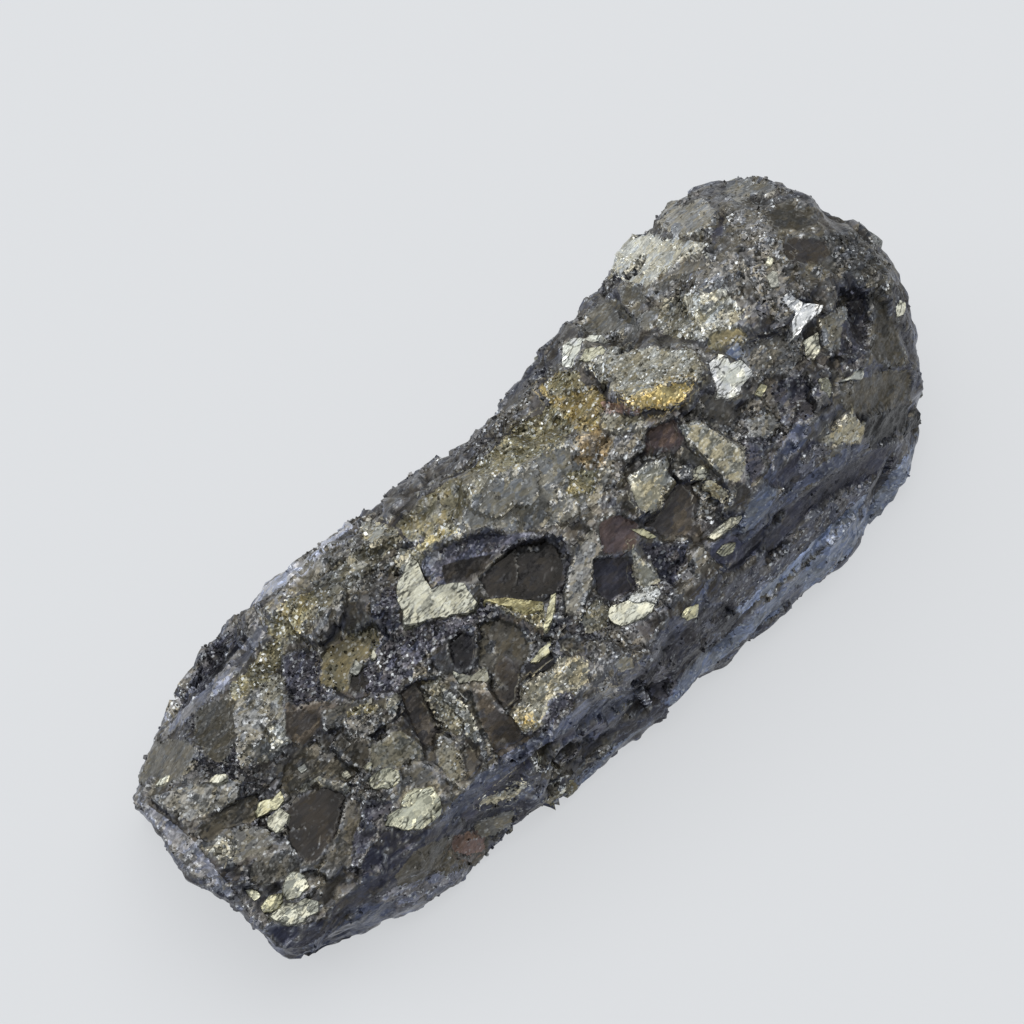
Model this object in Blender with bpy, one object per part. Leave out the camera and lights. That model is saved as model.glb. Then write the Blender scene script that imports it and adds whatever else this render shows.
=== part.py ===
"""Rough pyrite: one broken, elongated lump of crystals grown together.

The lump lies along X with its length, rests on a flat break at Z = 0 and rises towards +X.
It is one solid: a lofted body, chipped by flat breaks, with the larger crystals joined on.
Blender units are metres; the sizes below are in millimetres.
"""

import math

import bmesh
import bpy
import numpy as np
from mathutils import Matrix, Vector, noise
from mathutils.bvhtree import BVHTree

MM = 0.001

# Driving sizes, in millimetres.
LENGTH_STEP = 0.85          # spacing of the rings along X
FAR_TIP = (24.9, -0.2, 6.0)  # where the blunt +X end closes
NEAR_BREAK_POINT = (-21.7, 0.0, 6.0)  # a point on the flat break that ends the lump at -X
NEAR_BREAK_LEAN_DEG = 18.0  # how far that break leans in under the lump
NEAR_BREAK_TURN_DEG = 3.4   # how far it is turned about Z
HIP_HEIGHT = 1.6            # the widest line of both long sides, above the rest face
FOOT_DEPTH = -1.2           # how far the loft runs below Z = 0 before the rest face is cut
FOOT_TUCK = 1.0             # how far the sides draw in below the hip
WALL_BULGE = 0.3            # how far the front wall swells between hip and shoulder

# One row for each station along X: x, hip_front y, shoulder_front y z, terrace y z,
# crest y z, shoulder_back y z, hip_back y. Front is -Y and back is +Y.
SECTIONS = (
    (-24.4, -5.0, -5.2, 5.0, -2.0, 6.3, 2.4, 6.6, 4.7, 4.6, 4.7),
    (-21.0, -5.5, -5.5, 5.1, -2.1, 6.5, 2.6, 7.0, 5.7, 4.8, 5.6),
    (-17.0, -6.6, -6.1, 5.6, -2.5, 7.2, 3.2, 7.9, 7.3, 5.4, 7.1),
    (-12.0, -7.8, -6.7, 6.5, -3.2, 7.7, 2.9, 9.0, 7.9, 6.2, 7.7),
    (-7.0, -8.6, -7.7, 7.5, -4.2, 8.6, 2.4, 10.2, 7.2, 6.8, 6.9),
    (-2.0, -9.2, -8.5, 8.3, -4.4, 9.4, 1.5, 11.2, 6.5, 7.0, 6.2),
    (3.0, -9.5, -8.5, 9.1, -4.8, 10.1, 0.6, 12.0, 5.7, 7.6, 5.6),
    (8.0, -9.8, -7.8, 10.0, -4.6, 11.5, 0.4, 13.0, 5.8, 8.2, 5.6),
    (13.0, -10.4, -7.5, 10.8, -4.2, 12.7, 0.2, 14.0, 6.2, 8.6, 5.9),
    (18.0, -10.2, -6.6, 11.2, -3.6, 13.1, -0.2, 13.9, 6.6, 9.0, 6.2),
    (22.0, -8.1, -5.3, 10.4, -2.2, 11.7, 0.4, 12.0, 5.2, 8.6, 5.1),
    (24.3, -4.8, -3.3, 8.2, -1.2, 8.9, 0.4, 9.0, 3.4, 7.0, 3.2),
)

# Points between one corner of a section and the next, starting at the front foot.
POINTS_PER_SIDE = (3, 4, 4, 5, 7, 5, 5, 6, 3, 8)

# Flat breaks: how many, how wide, and how deep they may cut.
CHIP_SEED = 7
CHIP_COUNT = 170
CHIP_RADIUS = (1.4, 3.4)
CHIP_DEPTH = (0.0, 0.50)
CHIP_TILT_DEG = 22.0
CHIP_FADE = 0.3             # the share of its radius over which a break dies out

# Fine unevenness of the broken surface.
ROUGH_SCALE = 0.45
ROUGH_HEIGHT = 0.30

# The larger crystals. place: x, then the roll about the spine in degrees, where 0 is the front,
# 90 is the top and 180 is the back. size: along X, across, and deep. turn: about the surface's
# own normal, then tilt about X and Y, in degrees. proud: how far the face stands out.
CRYSTALS = {
    "plateau": {"place": (1.0, 94), "size": (7.4, 3.8, 3.4), "turn": (-20, 3, 3), "proud": 0.10},
    "stained_block": {"place": (9.2, 96), "size": (5.0, 3.0, 3.0), "turn": (-8, -3, 5), "proud": 0.10},
    "notched_block": {"place": (-5.5, 87), "size": (3.2, 2.2, 3.0), "turn": (28, 5, -7), "proud": 0.15},
    "near_slab": {"place": (-10.0, 47), "size": (2.0, 4.4, 2.6), "turn": (6, 4, 8), "proud": 0.20},
    "near_disc": {"place": (-12.9, 26), "size": (2.4, 1.8, 2.0), "turn": (20, 0, 0), "proud": 0.20},
    "near_lobe": {"place": (-14.6, 112), "size": (4.4, 3.0, 3.0), "turn": (12, -4, 2), "proud": 0.10},
    "near_corner": {"place": (-18.2, 24), "size": (2.4, 2.0, 2.4), "turn": (35, 5, 5), "proud": 0.20},
    "granular_block": {"place": (-5.2, 32), "size": (4.2, 2.4, 3.0), "turn": (14, 4, -4), "proud": 0.25},
    "dark_face": {"place": (-1.6, 64), "size": (3.6, 3.0, 3.0), "turn": (30, -6, 4), "proud": 0.10},
    "bright_block": {"place": (0.6, 38), "size": (2.6, 1.8, 2.4), "turn": (32, -6, -6), "proud": 0.25},
    "square_block": {"place": (5.1, 62), "size": (2.4, 2.4, 2.6), "turn": (38, 0, 4), "proud": 0.25},
    "grey_block": {"place": (8.5, 56), "size": (3.2, 2.4, 2.8), "turn": (-10, 6, 4), "proud": 0.25},
    "cracked_block": {"place": (11.6, 74), "size": (2.2, 2.0, 2.4), "turn": (20, 4, 6), "proud": 0.20},
    "far_bright": {"place": (16.2, 66), "size": (2.2, 1.8, 2.4), "turn": (-25, 0, 6), "proud": 0.20},
    "pale_block": {"place": (15.4, 116), "size": (4.2, 2.6, 3.0), "turn": (-8, -3, 4), "proud": 0.15},
    "wall_wedge": {"place": (14.4, 24), "size": (2.2, 1.6, 2.0), "turn": (30, 0, 8), "proud": 0.20},
    "far_facet": {"place": (17.6, 30), "size": (3.2, 3.0, 3.0), "turn": (10, -4, 10), "proud": 0.15},
    "foot_lump": {"place": (-3.8, -18), "size": (2.6, 1.6, 2.0), "turn": (0, 10, 0), "proud": 0.35},
    "back_block": {"place": (-3.0, 172), "size": (3.4, 2.6, 3.0), "turn": (20, 3, -4), "proud": 0.10},
    "back_cube": {"place": (-14.0, 178), "size": (2.4, 2.2, 2.6), "turn": (-24, 4, 3), "proud": 0.15},
    "back_slab": {"place": (13.0, 176), "size": (3.2, 2.6, 3.0), "turn": (16, -4, 4), "proud": 0.15},
}
CORNER_SEED = 11
CORNERS_CUT = 3             # how many corners are broken off each crystal
CORNER_REACH = (0.52, 0.70)  # how far out the cut passes, as a share of the half diagonal
CRYSTAL_BEVEL = 0.12
GRAIN_OF_SOLID = 0.30       # the voxel that the joined lump is resolved to
KEPT_TRIANGLES = 9000       # how many triangles the closed lump keeps
SPINE_Y = -0.8       # the line inside the lump that rolls are measured about
SPINE_HEIGHT = 5.0


def clear_scene():
    for obj in list(bpy.data.objects):
        bpy.data.objects.remove(obj)


def corners_of(row):
    """The ten corners of one section, from the front foot over the top to the back foot."""
    _, hip_front, front_y, front_z, terrace_y, terrace_z, crest_y, crest_z, back_y, back_z, hip_back = row
    wall_y = (hip_front + front_y) / 2 - WALL_BULGE
    wall_z = (HIP_HEIGHT + front_z) / 2
    slope_y = (crest_y + back_y) / 2 + WALL_BULGE
    slope_z = (crest_z + back_z) / 2 + 2 * WALL_BULGE
    return (
        (hip_front + FOOT_TUCK, FOOT_DEPTH),
        (hip_front, HIP_HEIGHT),
        (wall_y, wall_z),
        (front_y, front_z),
        (terrace_y, terrace_z),
        (crest_y, crest_z),
        (slope_y, slope_z),
        (back_y, back_z),
        (hip_back, HIP_HEIGHT + 1.0),
        (hip_back - FOOT_TUCK, FOOT_DEPTH),
    )


def ring_points():
    """(rings, points, 3) in millimetres: each ring follows the section table's corners at its own x."""
    rows = np.array(SECTIONS)
    corners = np.array([corners_of(row) for row in SECTIONS])
    count = int(round((rows[-1, 0] - rows[0, 0]) / LENGTH_STEP)) + 1
    xs = np.linspace(rows[0, 0], rows[-1, 0], count)
    rings = []
    for x in xs:
        ring = [(np.interp(x, rows[:, 0], corners[:, k, 0]), np.interp(x, rows[:, 0], corners[:, k, 1]))
                for k in range(corners.shape[1])]
        points = []
        for k, steps in enumerate(POINTS_PER_SIDE):
            start, end = np.array(ring[k]), np.array(ring[(k + 1) % len(ring)])
            points += [(x, *(start + (end - start) * i / steps)) for i in range(steps)]
        rings.append(points)
    return np.array(rings)


def body_mesh():
    """The lofted body: quads between rings, closed by a flat polygon at -X and a fan at +X."""
    rings = ring_points()
    bm = bmesh.new()
    verts = [[bm.verts.new(Vector(p) * MM) for p in ring] for ring in rings]
    around = len(verts[0])
    for a, b in zip(verts, verts[1:]):
        for i in range(around):
            j = (i + 1) % around
            bm.faces.new((a[i], b[i], b[j], a[j]))
    bm.faces.new(verts[0])
    tip = bm.verts.new(Vector(FAR_TIP) * MM)
    for i in range(around):
        bm.faces.new((verts[-1][i], tip, verts[-1][(i + 1) % around]))
    bmesh.ops.recalc_face_normals(bm, faces=bm.faces)
    return bm


def chip(bm):
    """Flat breaks: whatever stands out past each break's plane, near its middle, is pressed onto it.

    The break dies out towards its radius, so that it leaves no round rim.
    """
    rng = np.random.default_rng(CHIP_SEED)
    bm.normal_update()
    points = np.array([v.co for v in bm.verts]) / MM
    normals = np.array([v.normal for v in bm.verts])
    for _ in range(CHIP_COUNT):
        centre = rng.integers(len(points))
        radius = rng.uniform(*CHIP_RADIUS)
        depth = rng.uniform(*CHIP_DEPTH)
        lean = rng.normal(size=3) * math.tan(math.radians(CHIP_TILT_DEG)) * 0.6
        plane = normals[centre] + lean
        plane /= np.linalg.norm(plane)
        away = points - points[centre]
        height = np.maximum(away @ plane + depth, 0)
        fade = np.clip((radius - np.linalg.norm(away, axis=1)) / (CHIP_FADE * radius), 0, 1)
        points -= np.outer(height * fade, plane)
    for vert, point in zip(bm.verts, points):
        vert.co = Vector(point) * MM


def roughen(bm):
    """Moves each point along its normal by a few octaves of noise."""
    bm.normal_update()
    for vert in bm.verts:
        where = vert.co / MM * ROUGH_SCALE
        vert.co += vert.normal * noise.fractal(where, 1.0, 2.0, 3) * ROUGH_HEIGHT * MM


def cut_flat(bm, point, normal):
    """Cuts away what lies on the side that normal points to, and closes the cut with one flat face."""
    cut = bmesh.ops.bisect_plane(
        bm, geom=bm.verts[:] + bm.edges[:] + bm.faces[:], dist=1e-7,
        plane_co=point, plane_no=normal, clear_outer=True,
    )
    edges = [g for g in cut["geom_cut"] if isinstance(g, bmesh.types.BMEdge)]
    bmesh.ops.contextual_create(bm, geom=edges)


def near_break_normal():
    lean = math.radians(NEAR_BREAK_LEAN_DEG)
    turn = math.radians(NEAR_BREAK_TURN_DEG)
    return Vector((-math.cos(lean) * math.cos(turn), math.cos(lean) * math.sin(turn), -math.sin(lean)))


def add_object(name, bm):
    mesh = bpy.data.meshes.new(name)
    bm.to_mesh(mesh)
    bm.free()
    obj = bpy.data.objects.new(name, mesh)
    bpy.context.collection.objects.link(obj)
    return obj


def surface_at(tree, x, roll_deg):
    """The body's surface point and outward normal, seen from the spine at x in the direction roll_deg."""
    roll = math.radians(roll_deg)
    start = Vector((x, SPINE_Y, SPINE_HEIGHT)) * MM
    outward = Vector((0, -math.cos(roll), math.sin(roll)))
    point, normal, _, _ = tree.ray_cast(start, outward)
    return point, normal if normal.dot(outward) > 0 else -normal


def crystal_matrix(point, normal, turn, depth, proud):
    """Stands a block on the surface: its own +Z along the normal, turned and tilted, most of it inside."""
    along = Vector((1, 0, 0))
    across = normal.cross(along).normalized()
    along = across.cross(normal)
    frame = Matrix((along, across, normal)).transposed()
    for angle, axis in zip(turn, ("Z", "X", "Y")):
        frame = frame @ Matrix.Rotation(math.radians(angle), 3, axis)
    sink = point + frame.col[2] * (proud - depth / 2) * MM
    return Matrix.Translation(sink) @ frame.to_4x4()


def crystal_mesh(size, rng):
    """A block with a few of its corners broken off flat and its edges bevelled."""
    bm = bmesh.new()
    bmesh.ops.create_cube(bm, size=1.0)
    bmesh.ops.scale(bm, vec=Vector(size), verts=bm.verts)
    for _ in range(CORNERS_CUT):
        corner = Vector(np.array(size) / 2 * rng.choice((-1.0, 1.0), size=3))
        lean = Vector(rng.normal(scale=0.35, size=3))
        cut_flat(bm, corner * rng.uniform(*CORNER_REACH), corner.normalized() + lean)
    bmesh.ops.bevel(bm, geom=bm.edges[:], offset=CRYSTAL_BEVEL, segments=1, affect="EDGES")
    bmesh.ops.scale(bm, vec=Vector((MM, MM, MM)), verts=bm.verts)
    return bm


def add_crystals(body_bm):
    """One bevelled block for each crystal, in a collection that the body's Boolean joins on."""
    tree = BVHTree.FromBMesh(body_bm)
    collection = bpy.data.collections.new("crystals")
    bpy.context.scene.collection.children.link(collection)
    rng = np.random.default_rng(CORNER_SEED)
    for name, crystal in CRYSTALS.items():
        point, normal = surface_at(tree, *crystal["place"])
        bm = crystal_mesh(crystal["size"], rng)
        matrix = crystal_matrix(point, normal, crystal["turn"], crystal["size"][2], crystal["proud"])
        bmesh.ops.transform(bm, matrix=matrix, verts=bm.verts)
        obj = add_object(name, bm)
        obj.hide_render = True
        obj.display_type = "WIRE"
        collection.objects.link(obj)
        bpy.context.collection.objects.unlink(obj)
    return collection


def pyrite_material():
    material = bpy.data.materials.new("pyrite")
    material.use_nodes = True
    shader = material.node_tree.nodes["Principled BSDF"]
    shader.inputs["Base Color"].default_value = (0.20, 0.18, 0.14, 1.0)
    shader.inputs["Metallic"].default_value = 1.0
    shader.inputs["Roughness"].default_value = 0.42
    return material


def make_pyrite():
    bm = body_mesh()
    chip(bm)
    roughen(bm)
    cut_flat(bm, Vector(NEAR_BREAK_POINT) * MM, near_break_normal())
    collection = add_crystals(bm)
    body = add_object("rough_pyrite", bm)
    join = body.modifiers.new("join_crystals", "BOOLEAN")
    join.operation = "UNION"
    join.operand_type = "COLLECTION"
    join.collection = collection
    join.solver = "EXACT"
    join.use_self = True
    grown = body.modifiers.new("grown_together", "REMESH")
    grown.mode = "VOXEL"
    grown.voxel_size = GRAIN_OF_SOLID * MM
    return body


def apply_modifiers(body):
    graph = bpy.context.evaluated_depsgraph_get()
    applied = bpy.data.meshes.new_from_object(body.evaluated_get(graph))
    body.modifiers.clear()
    body.data = applied


def thin_out(body):
    """Keeps the triangles where the surface bends and drops those on its flats."""
    body.data.calc_loop_triangles()
    thin = body.modifiers.new("thin_out", "DECIMATE")
    thin.ratio = KEPT_TRIANGLES / len(body.data.loop_triangles)
    apply_modifiers(body)


def cut_rest_face(body):
    """Cuts the flat face that the lump rests on, at Z = 0, and centres the lump over the origin."""
    bm = bmesh.new()
    bm.from_mesh(body.data)
    cut_flat(bm, Vector((0, 0, 0)), Vector((0, 0, -1)))
    bmesh.ops.triangulate(bm, faces=bm.faces)
    points = np.array([v.co for v in bm.verts])
    middle = (points.min(axis=0) + points.max(axis=0)) / 2
    bmesh.ops.translate(bm, verts=bm.verts, vec=Vector((-middle[0], -middle[1], 0)))
    bm.to_mesh(body.data)
    bm.free()


def main():
    clear_scene()
    body = make_pyrite()
    apply_modifiers(body)
    thin_out(body)
    cut_rest_face(body)
    body.data.materials.clear()
    body.data.materials.append(pyrite_material())
    body.data.set_sharp_from_angle(angle=math.radians(30))


main()
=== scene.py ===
"""Rough pyrite: the looks of one broken, elongated lump of crystals grown together.

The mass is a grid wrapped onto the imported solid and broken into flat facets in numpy. Larger
crystals stand in it as bevelled blocks, and small grains are strewn over its granular parts.
Lengths in the tables below are millimetres; everything that reaches Blender is metres.
"""

import math

import bmesh
import bpy
import numpy as np
from mathutils import Matrix, Vector
from mathutils.bvhtree import BVHTree


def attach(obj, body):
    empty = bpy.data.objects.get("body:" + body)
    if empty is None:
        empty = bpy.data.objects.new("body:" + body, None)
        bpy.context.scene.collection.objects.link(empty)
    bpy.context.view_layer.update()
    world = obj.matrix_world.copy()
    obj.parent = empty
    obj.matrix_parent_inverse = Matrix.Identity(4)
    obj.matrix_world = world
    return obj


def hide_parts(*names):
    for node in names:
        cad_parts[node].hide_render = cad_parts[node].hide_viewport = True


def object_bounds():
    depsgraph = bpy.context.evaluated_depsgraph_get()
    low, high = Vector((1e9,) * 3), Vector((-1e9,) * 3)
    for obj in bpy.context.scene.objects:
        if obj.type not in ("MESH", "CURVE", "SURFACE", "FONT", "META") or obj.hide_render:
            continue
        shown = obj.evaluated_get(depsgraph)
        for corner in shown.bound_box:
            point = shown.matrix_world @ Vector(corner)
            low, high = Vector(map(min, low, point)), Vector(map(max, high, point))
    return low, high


bl_info = {
    "name": "Rough Pyrite",
    "version": (1, 0, 0),
    "blender": (4, 5, 0),
    "location": "View3D > Sidebar > Pyrite",
    "description": "Builds a rough pyrite lump around its packed solid",
    "category": "Add Mesh",
}

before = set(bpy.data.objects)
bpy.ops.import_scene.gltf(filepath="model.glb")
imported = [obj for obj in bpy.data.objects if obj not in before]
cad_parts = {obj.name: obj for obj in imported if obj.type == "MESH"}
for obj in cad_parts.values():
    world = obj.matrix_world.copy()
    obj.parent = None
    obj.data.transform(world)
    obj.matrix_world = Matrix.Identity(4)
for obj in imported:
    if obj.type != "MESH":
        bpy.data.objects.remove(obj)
cad_low, cad_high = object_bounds()
NODE = "rough_pyrite"
BODY = "root"
MM = 0.001
SIZE = (cad_high - cad_low) / MM      # length, width and height of the solid

# The camera, and the frame that view places are given in: 1024 x 1024, from the top left.
VIEW_WIDTH = 1024
VIEW_AZIMUTH = -48.0
VIEW_ELEVATION = 59.36
VIEW_DISTANCE = 204.5
VIEW_TARGET = (0.67, 2.98, 6.0)
LENS = 100.0
SENSOR = 24.0

# ---------------------------------------------------------------- colours


def linear(red, green, blue):
    """A colour given as 0 to 255 on the screen, as linear light, by the sRGB curve."""
    c = np.array((red, green, blue)) / 255
    return tuple(np.where(c <= 0.04045, c / 12.92, ((c + 0.055) / 1.055) ** 2.4))


# The ground between the faces that are named further down, and the crystals.
COLOURS = {
    "ore": linear(98, 96, 90),            # the common granular grey-brown
    "ore_dark": linear(66, 66, 70),       # blue-black granular matrix
    "ore_pale": linear(150, 151, 148),    # pale granular; also the colour of the painted highlight along sharp crests
    "olive": linear(110, 106, 92),
    "smoke": linear(62, 58, 53),          # smooth dark brown faces
    "slate": linear(84, 87, 97),          # painted reflection: the pale floor mirrored blue-grey in the walls
    # slate_dark is its painted shade in the grooves between the wall's ridges, slate_pale its painted sheen
    # on the ridges
    "slate_dark": linear(50, 50, 56),
    "slate_pale": linear(132, 136, 146),
    "glint": linear(222, 226, 228),       # painted glint: the pale base colour of single grains, standing in for their mirror of the light
    "pale_gold": linear(226, 223, 202),   # bright crystal faces
    "silver": linear(226, 226, 214),
    "lit_gold": linear(172, 171, 156),    # the same, on faces that mirror the light
    "straw": linear(210, 205, 170),
    "gold": linear(186, 177, 134),
    "dull_gold": linear(190, 188, 166),
    "grey_face": linear(150, 148, 134),
}

# ---------------------------------------------------------------- settings


class PyriteSettings(bpy.types.PropertyGroup):
    """The sizes that shape the lump."""

    around: bpy.props.IntProperty(
        name="Around", description="Points of the mass round its outline", default=716)
    upward: bpy.props.IntProperty(
        name="Upward", description="Points of the mass from the rest face to the crest", default=136)
    break_size: bpy.props.FloatProperty(
        name="Break size", description="Typical width of the larger flat breaks",
        default=2.5 * MM, unit="LENGTH")
    facet_size: bpy.props.FloatProperty(
        name="Facet size", description="Typical width of the smaller facets",
        default=0.9 * MM, unit="LENGTH")
    grain_size: bpy.props.FloatProperty(
        name="Grain size", description="Width of a typical loose grain",
        default=0.11 * MM, unit="LENGTH")
    grain_count: bpy.props.IntProperty(
        name="Grains", description="How many small grains are strewn over the mass", default=6000)
    hidden_crystals: bpy.props.IntProperty(
        name="Other crystals", description="Crystals placed by chance besides the named ones", default=80)
    floor_colour: bpy.props.FloatVectorProperty(
        name="Floor", description="Colour of the floor", subtype="COLOR", size=3,
        default=(0.155, 0.158, 0.163), min=0, max=1)


# ---------------------------------------------------------------- the camera's frame


def view_basis():
    """Camera place, in millimetres, and its unit right, up and back directions."""
    a, e = math.radians(VIEW_AZIMUTH), math.radians(VIEW_ELEVATION)
    back = np.array((math.sin(a) * math.cos(e), -math.cos(a) * math.cos(e), math.sin(e)))
    right = np.array((math.cos(a), math.sin(a), 0.0))
    eye = np.array(VIEW_TARGET) + back * VIEW_DISTANCE
    return eye, right, np.cross(back, right), back


EYE, RIGHT, UP, BACK = view_basis()
FOCAL = VIEW_WIDTH * LENS / SENSOR      # in view pixels


def to_view(points):
    """Where points, in millimetres, fall in the camera's frame: focal length x offset / depth."""
    away = points - EYE
    depth = -(away @ BACK)
    x = VIEW_WIDTH / 2 + FOCAL * (away @ RIGHT) / depth
    y = VIEW_WIDTH / 2 - FOCAL * (away @ UP) / depth
    return np.stack((x, y), axis=-1)


def view_rays(places):
    """Unit directions from the camera through places of its frame."""
    p = np.asarray(places, float)
    rays = (-BACK * FOCAL + np.outer(p[:, 0] - VIEW_WIDTH / 2, RIGHT)
            - np.outer(p[:, 1] - VIEW_WIDTH / 2, UP))
    return rays / np.linalg.norm(rays, axis=1, keepdims=True)


# ---------------------------------------------------------------- noise and masks

# Large odd numbers that scatter the bits of a corner's whole numbers.
SCATTER = [np.uint32(n) for n in (374761393, 668265263, 2246822519, 3266489917, 1274126177)]
SEED_STEP, SEED_START = 40503, 12345
LOW_BITS = 0xFFFF


def lattice(corner, seed):
    """A repeatable number from 0 to 1 for each whole-number corner: its three numbers are hashed."""
    x, y, z = (corner[..., k].astype(np.uint32) for k in range(3))
    h = x * SCATTER[0] + y * SCATTER[1] + z * SCATTER[2]
    h = (h + np.uint32(seed * SEED_STEP + SEED_START)) * SCATTER[3]
    h = (h ^ (h >> np.uint32(13))) * SCATTER[4]
    return ((h ^ (h >> np.uint32(16))) & np.uint32(LOW_BITS)) / float(LOW_BITS)


def noise(points, width, seed):
    """Smooth noise from -1 to 1: lattice numbers, one every width, blended with smoothstep weights."""
    p = np.asarray(points, float) / width
    base = np.floor(p).astype(np.int64)
    t = p - base
    t = t * t * (3 - 2 * t)
    total = np.zeros(p.shape[:-1])
    for i in (0, 1):
        for j in (0, 1):
            for k in (0, 1):
                weight = (t[..., 0] if i else 1 - t[..., 0]) * (t[..., 1] if j else 1 - t[..., 1])
                weight = weight * (t[..., 2] if k else 1 - t[..., 2])
                total += weight * lattice(base + (i, j, k), seed)
    return total * 2 - 1


def layered(points, width, layers, seed):
    """Noise summed over layers, each half as wide and half as strong as the one before."""
    return sum(noise(points, width / 2**k, seed + k) / 2**k for k in range(layers))


def smoothstep(low, high, values):
    """0 up to low and 1 from high on, with t x t x (3 - 2t) between; low may be the larger."""
    t = np.clip((values - low) / (high - low), 0, 1)
    return t * t * (3 - 2 * t)


FAR_OUTSIDE = 1e9


def distance_inside(points, outline):
    """Signed distance of 2-D points from a closed outline, positive inside it.

    The distance is the least over the outline's sides; the sign is by counting crossings. Points
    further from it than half its own width are simply far outside.
    """
    outline = np.asarray(outline, float)
    margin = np.ptp(outline, axis=0).max() * 0.5
    near = ((points > outline.min(axis=0) - margin) & (points < outline.max(axis=0) + margin)).all(axis=1)
    distance = np.full(len(points), -FAR_OUTSIDE)
    points = points[near]
    least = np.full(len(points), FAR_OUTSIDE)
    inside = np.zeros(len(points), bool)
    for a, b in zip(outline, np.roll(outline, -1, axis=0)):
        side = b - a
        away = points - a
        t = np.clip(away @ side / (side @ side), 0, 1)
        least = np.minimum(least, np.linalg.norm(away - np.outer(t, side), axis=1))
        spans = (a[1] > points[:, 1]) != (b[1] > points[:, 1])
        with np.errstate(divide="ignore", invalid="ignore"):
            cross = a[0] + (points[:, 1] - a[1]) * side[0] / side[1]
        inside ^= spans & (points[:, 0] < cross)
    distance[near] = np.where(inside, least, -least)
    return distance


# ---------------------------------------------------------------- meshes from arrays


def grid_quads(rows, columns, wrap):
    """Quads of a grid whose points are numbered row by row; wrap joins the last column to the first."""
    low = np.arange(rows - 1)[:, None] * columns
    c = np.arange(columns if wrap else columns - 1)[None, :]
    n = (c + 1) % columns
    high = low + columns
    return np.stack((low + c, low + n, high + n, high + c), axis=-1).reshape(-1, 4)


def add_piece(name, points_mm, faces, material, sharp_deg):
    """A mesh object at the origin, shaded smooth but for edges sharper than sharp_deg."""
    mesh = bpy.data.meshes.new(name)
    mesh.from_pydata(np.asarray(points_mm) * MM, [], faces)
    mesh.shade_smooth()
    mesh.set_sharp_from_angle(angle=math.radians(sharp_deg))
    mesh.materials.append(material)
    obj = bpy.data.objects.new(name, mesh)
    bpy.context.scene.collection.objects.link(obj)
    return obj


def add_attributes(obj, named_values):
    """Point attributes: a colour where an array has three or four columns, else a plain number."""
    for name, values in named_values.items():
        values = np.asarray(values, np.float32)
        if values.ndim == 1:
            layer = obj.data.attributes.new(name, "FLOAT", "POINT")
            layer.data.foreach_set("value", values)
            continue
        layer = obj.data.attributes.new(name, "FLOAT_COLOR", "POINT")
        rgba = np.ones((len(values), 4), np.float32)
        rgba[:, :values.shape[1]] = values
        layer.data.foreach_set("color", rgba.ravel())


def read_vectors(elements, key):
    """One vector of each element of a mesh, such as its points' places, as rows of an array."""
    values = np.empty(len(elements) * 3, np.float32)
    elements.foreach_get(key, values)
    return values.reshape(-1, 3).astype(float)


# ---------------------------------------------------------------- the mass

# The line inside the lump that its grid is cast out from, in millimetres.
SPINE_START = np.array((-17.6, 1.3, 2.4))
SPINE_END = np.array((14.8, -1.0, 5.0))
CAST_RADIUS = 22.0          # how far out the grid starts before it is pressed onto the solid
LOWEST_CAST = -40.0         # degrees from level: the first ring lands under the lump
HIGHEST_CAST = 89.4         # and the last one just beside the crest
NEAR_CAP_SHARE = 0.155      # the shares of the half outline given to the two ends
FAR_CAP_SHARE = 0.135
MERGE_DISTANCE = 1e-6       # metres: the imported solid's triangles are joined where they meet


def dome_grid(around, upward):
    """Points and faces of a dome round the spine; the last face is its base.

    Column u runs round the outline: a quarter turn at the near end, along the front, round the far
    end and back along the rear. Row v climbs from below level to nearly straight up. A point is
    spine(u) + radius x (cos v x outward(u) + sin v x up). Columns u and -u meet along the crest.
    """
    half = around // 2
    near, far = int(half * NEAR_CAP_SHARE), int(half * FAR_CAP_SHARE)
    turn = np.concatenate((
        np.linspace(0, 90, near, endpoint=False),
        np.full(half - near - far, 90.0),
        np.linspace(90, 180, far + 2)[1:],
    ))
    along = np.concatenate((
        np.zeros(near), np.linspace(0, 1, half - near - far), np.ones(far + 1)))
    turn = np.radians(np.concatenate((turn, -turn[-2:0:-1])))
    along = np.concatenate((along, along[-2:0:-1]))
    columns = len(turn)
    axis = (SPINE_END - SPINE_START) / np.linalg.norm(SPINE_END - SPINE_START)
    side = np.cross((0, 0, 1), axis)
    side /= np.linalg.norm(side)
    outward = -np.outer(np.cos(turn), axis) - np.outer(np.sin(turn), side)
    spine = SPINE_START + along[:, None] * (SPINE_END - SPINE_START)
    climb = np.radians(np.linspace(LOWEST_CAST, HIGHEST_CAST, upward))[:, None, None]
    cast = np.cos(climb) * outward + np.sin(climb) * np.cross(axis, side)
    points = (spine + CAST_RADIUS * cast).reshape(-1, 3)
    quads = grid_quads(upward, columns, wrap=True)
    top = (upward - 1) * columns
    i = np.arange(1, columns // 2 - 1)
    crest = top + np.stack((i, i + 1, columns - i - 1, columns - i), axis=-1)
    last = columns // 2
    ends = [(top, top + 1, top + columns - 1), (top + last - 1, top + last, top + last + 1)]
    base = tuple(range(columns - 1, -1, -1))
    faces = [*quads.tolist(), *crest.tolist(), *ends, base]
    return points, faces


def solid_copy():
    """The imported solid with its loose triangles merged, as an object to press onto."""
    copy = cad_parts[NODE].data.copy()
    bm = bmesh.new()
    bm.from_mesh(copy)
    bmesh.ops.remove_doubles(bm, verts=bm.verts, dist=MERGE_DISTANCE)
    bm.to_mesh(copy)
    bm.free()
    obj = bpy.data.objects.new("solid_copy", copy)
    bpy.context.scene.collection.objects.link(obj)
    return obj


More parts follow.
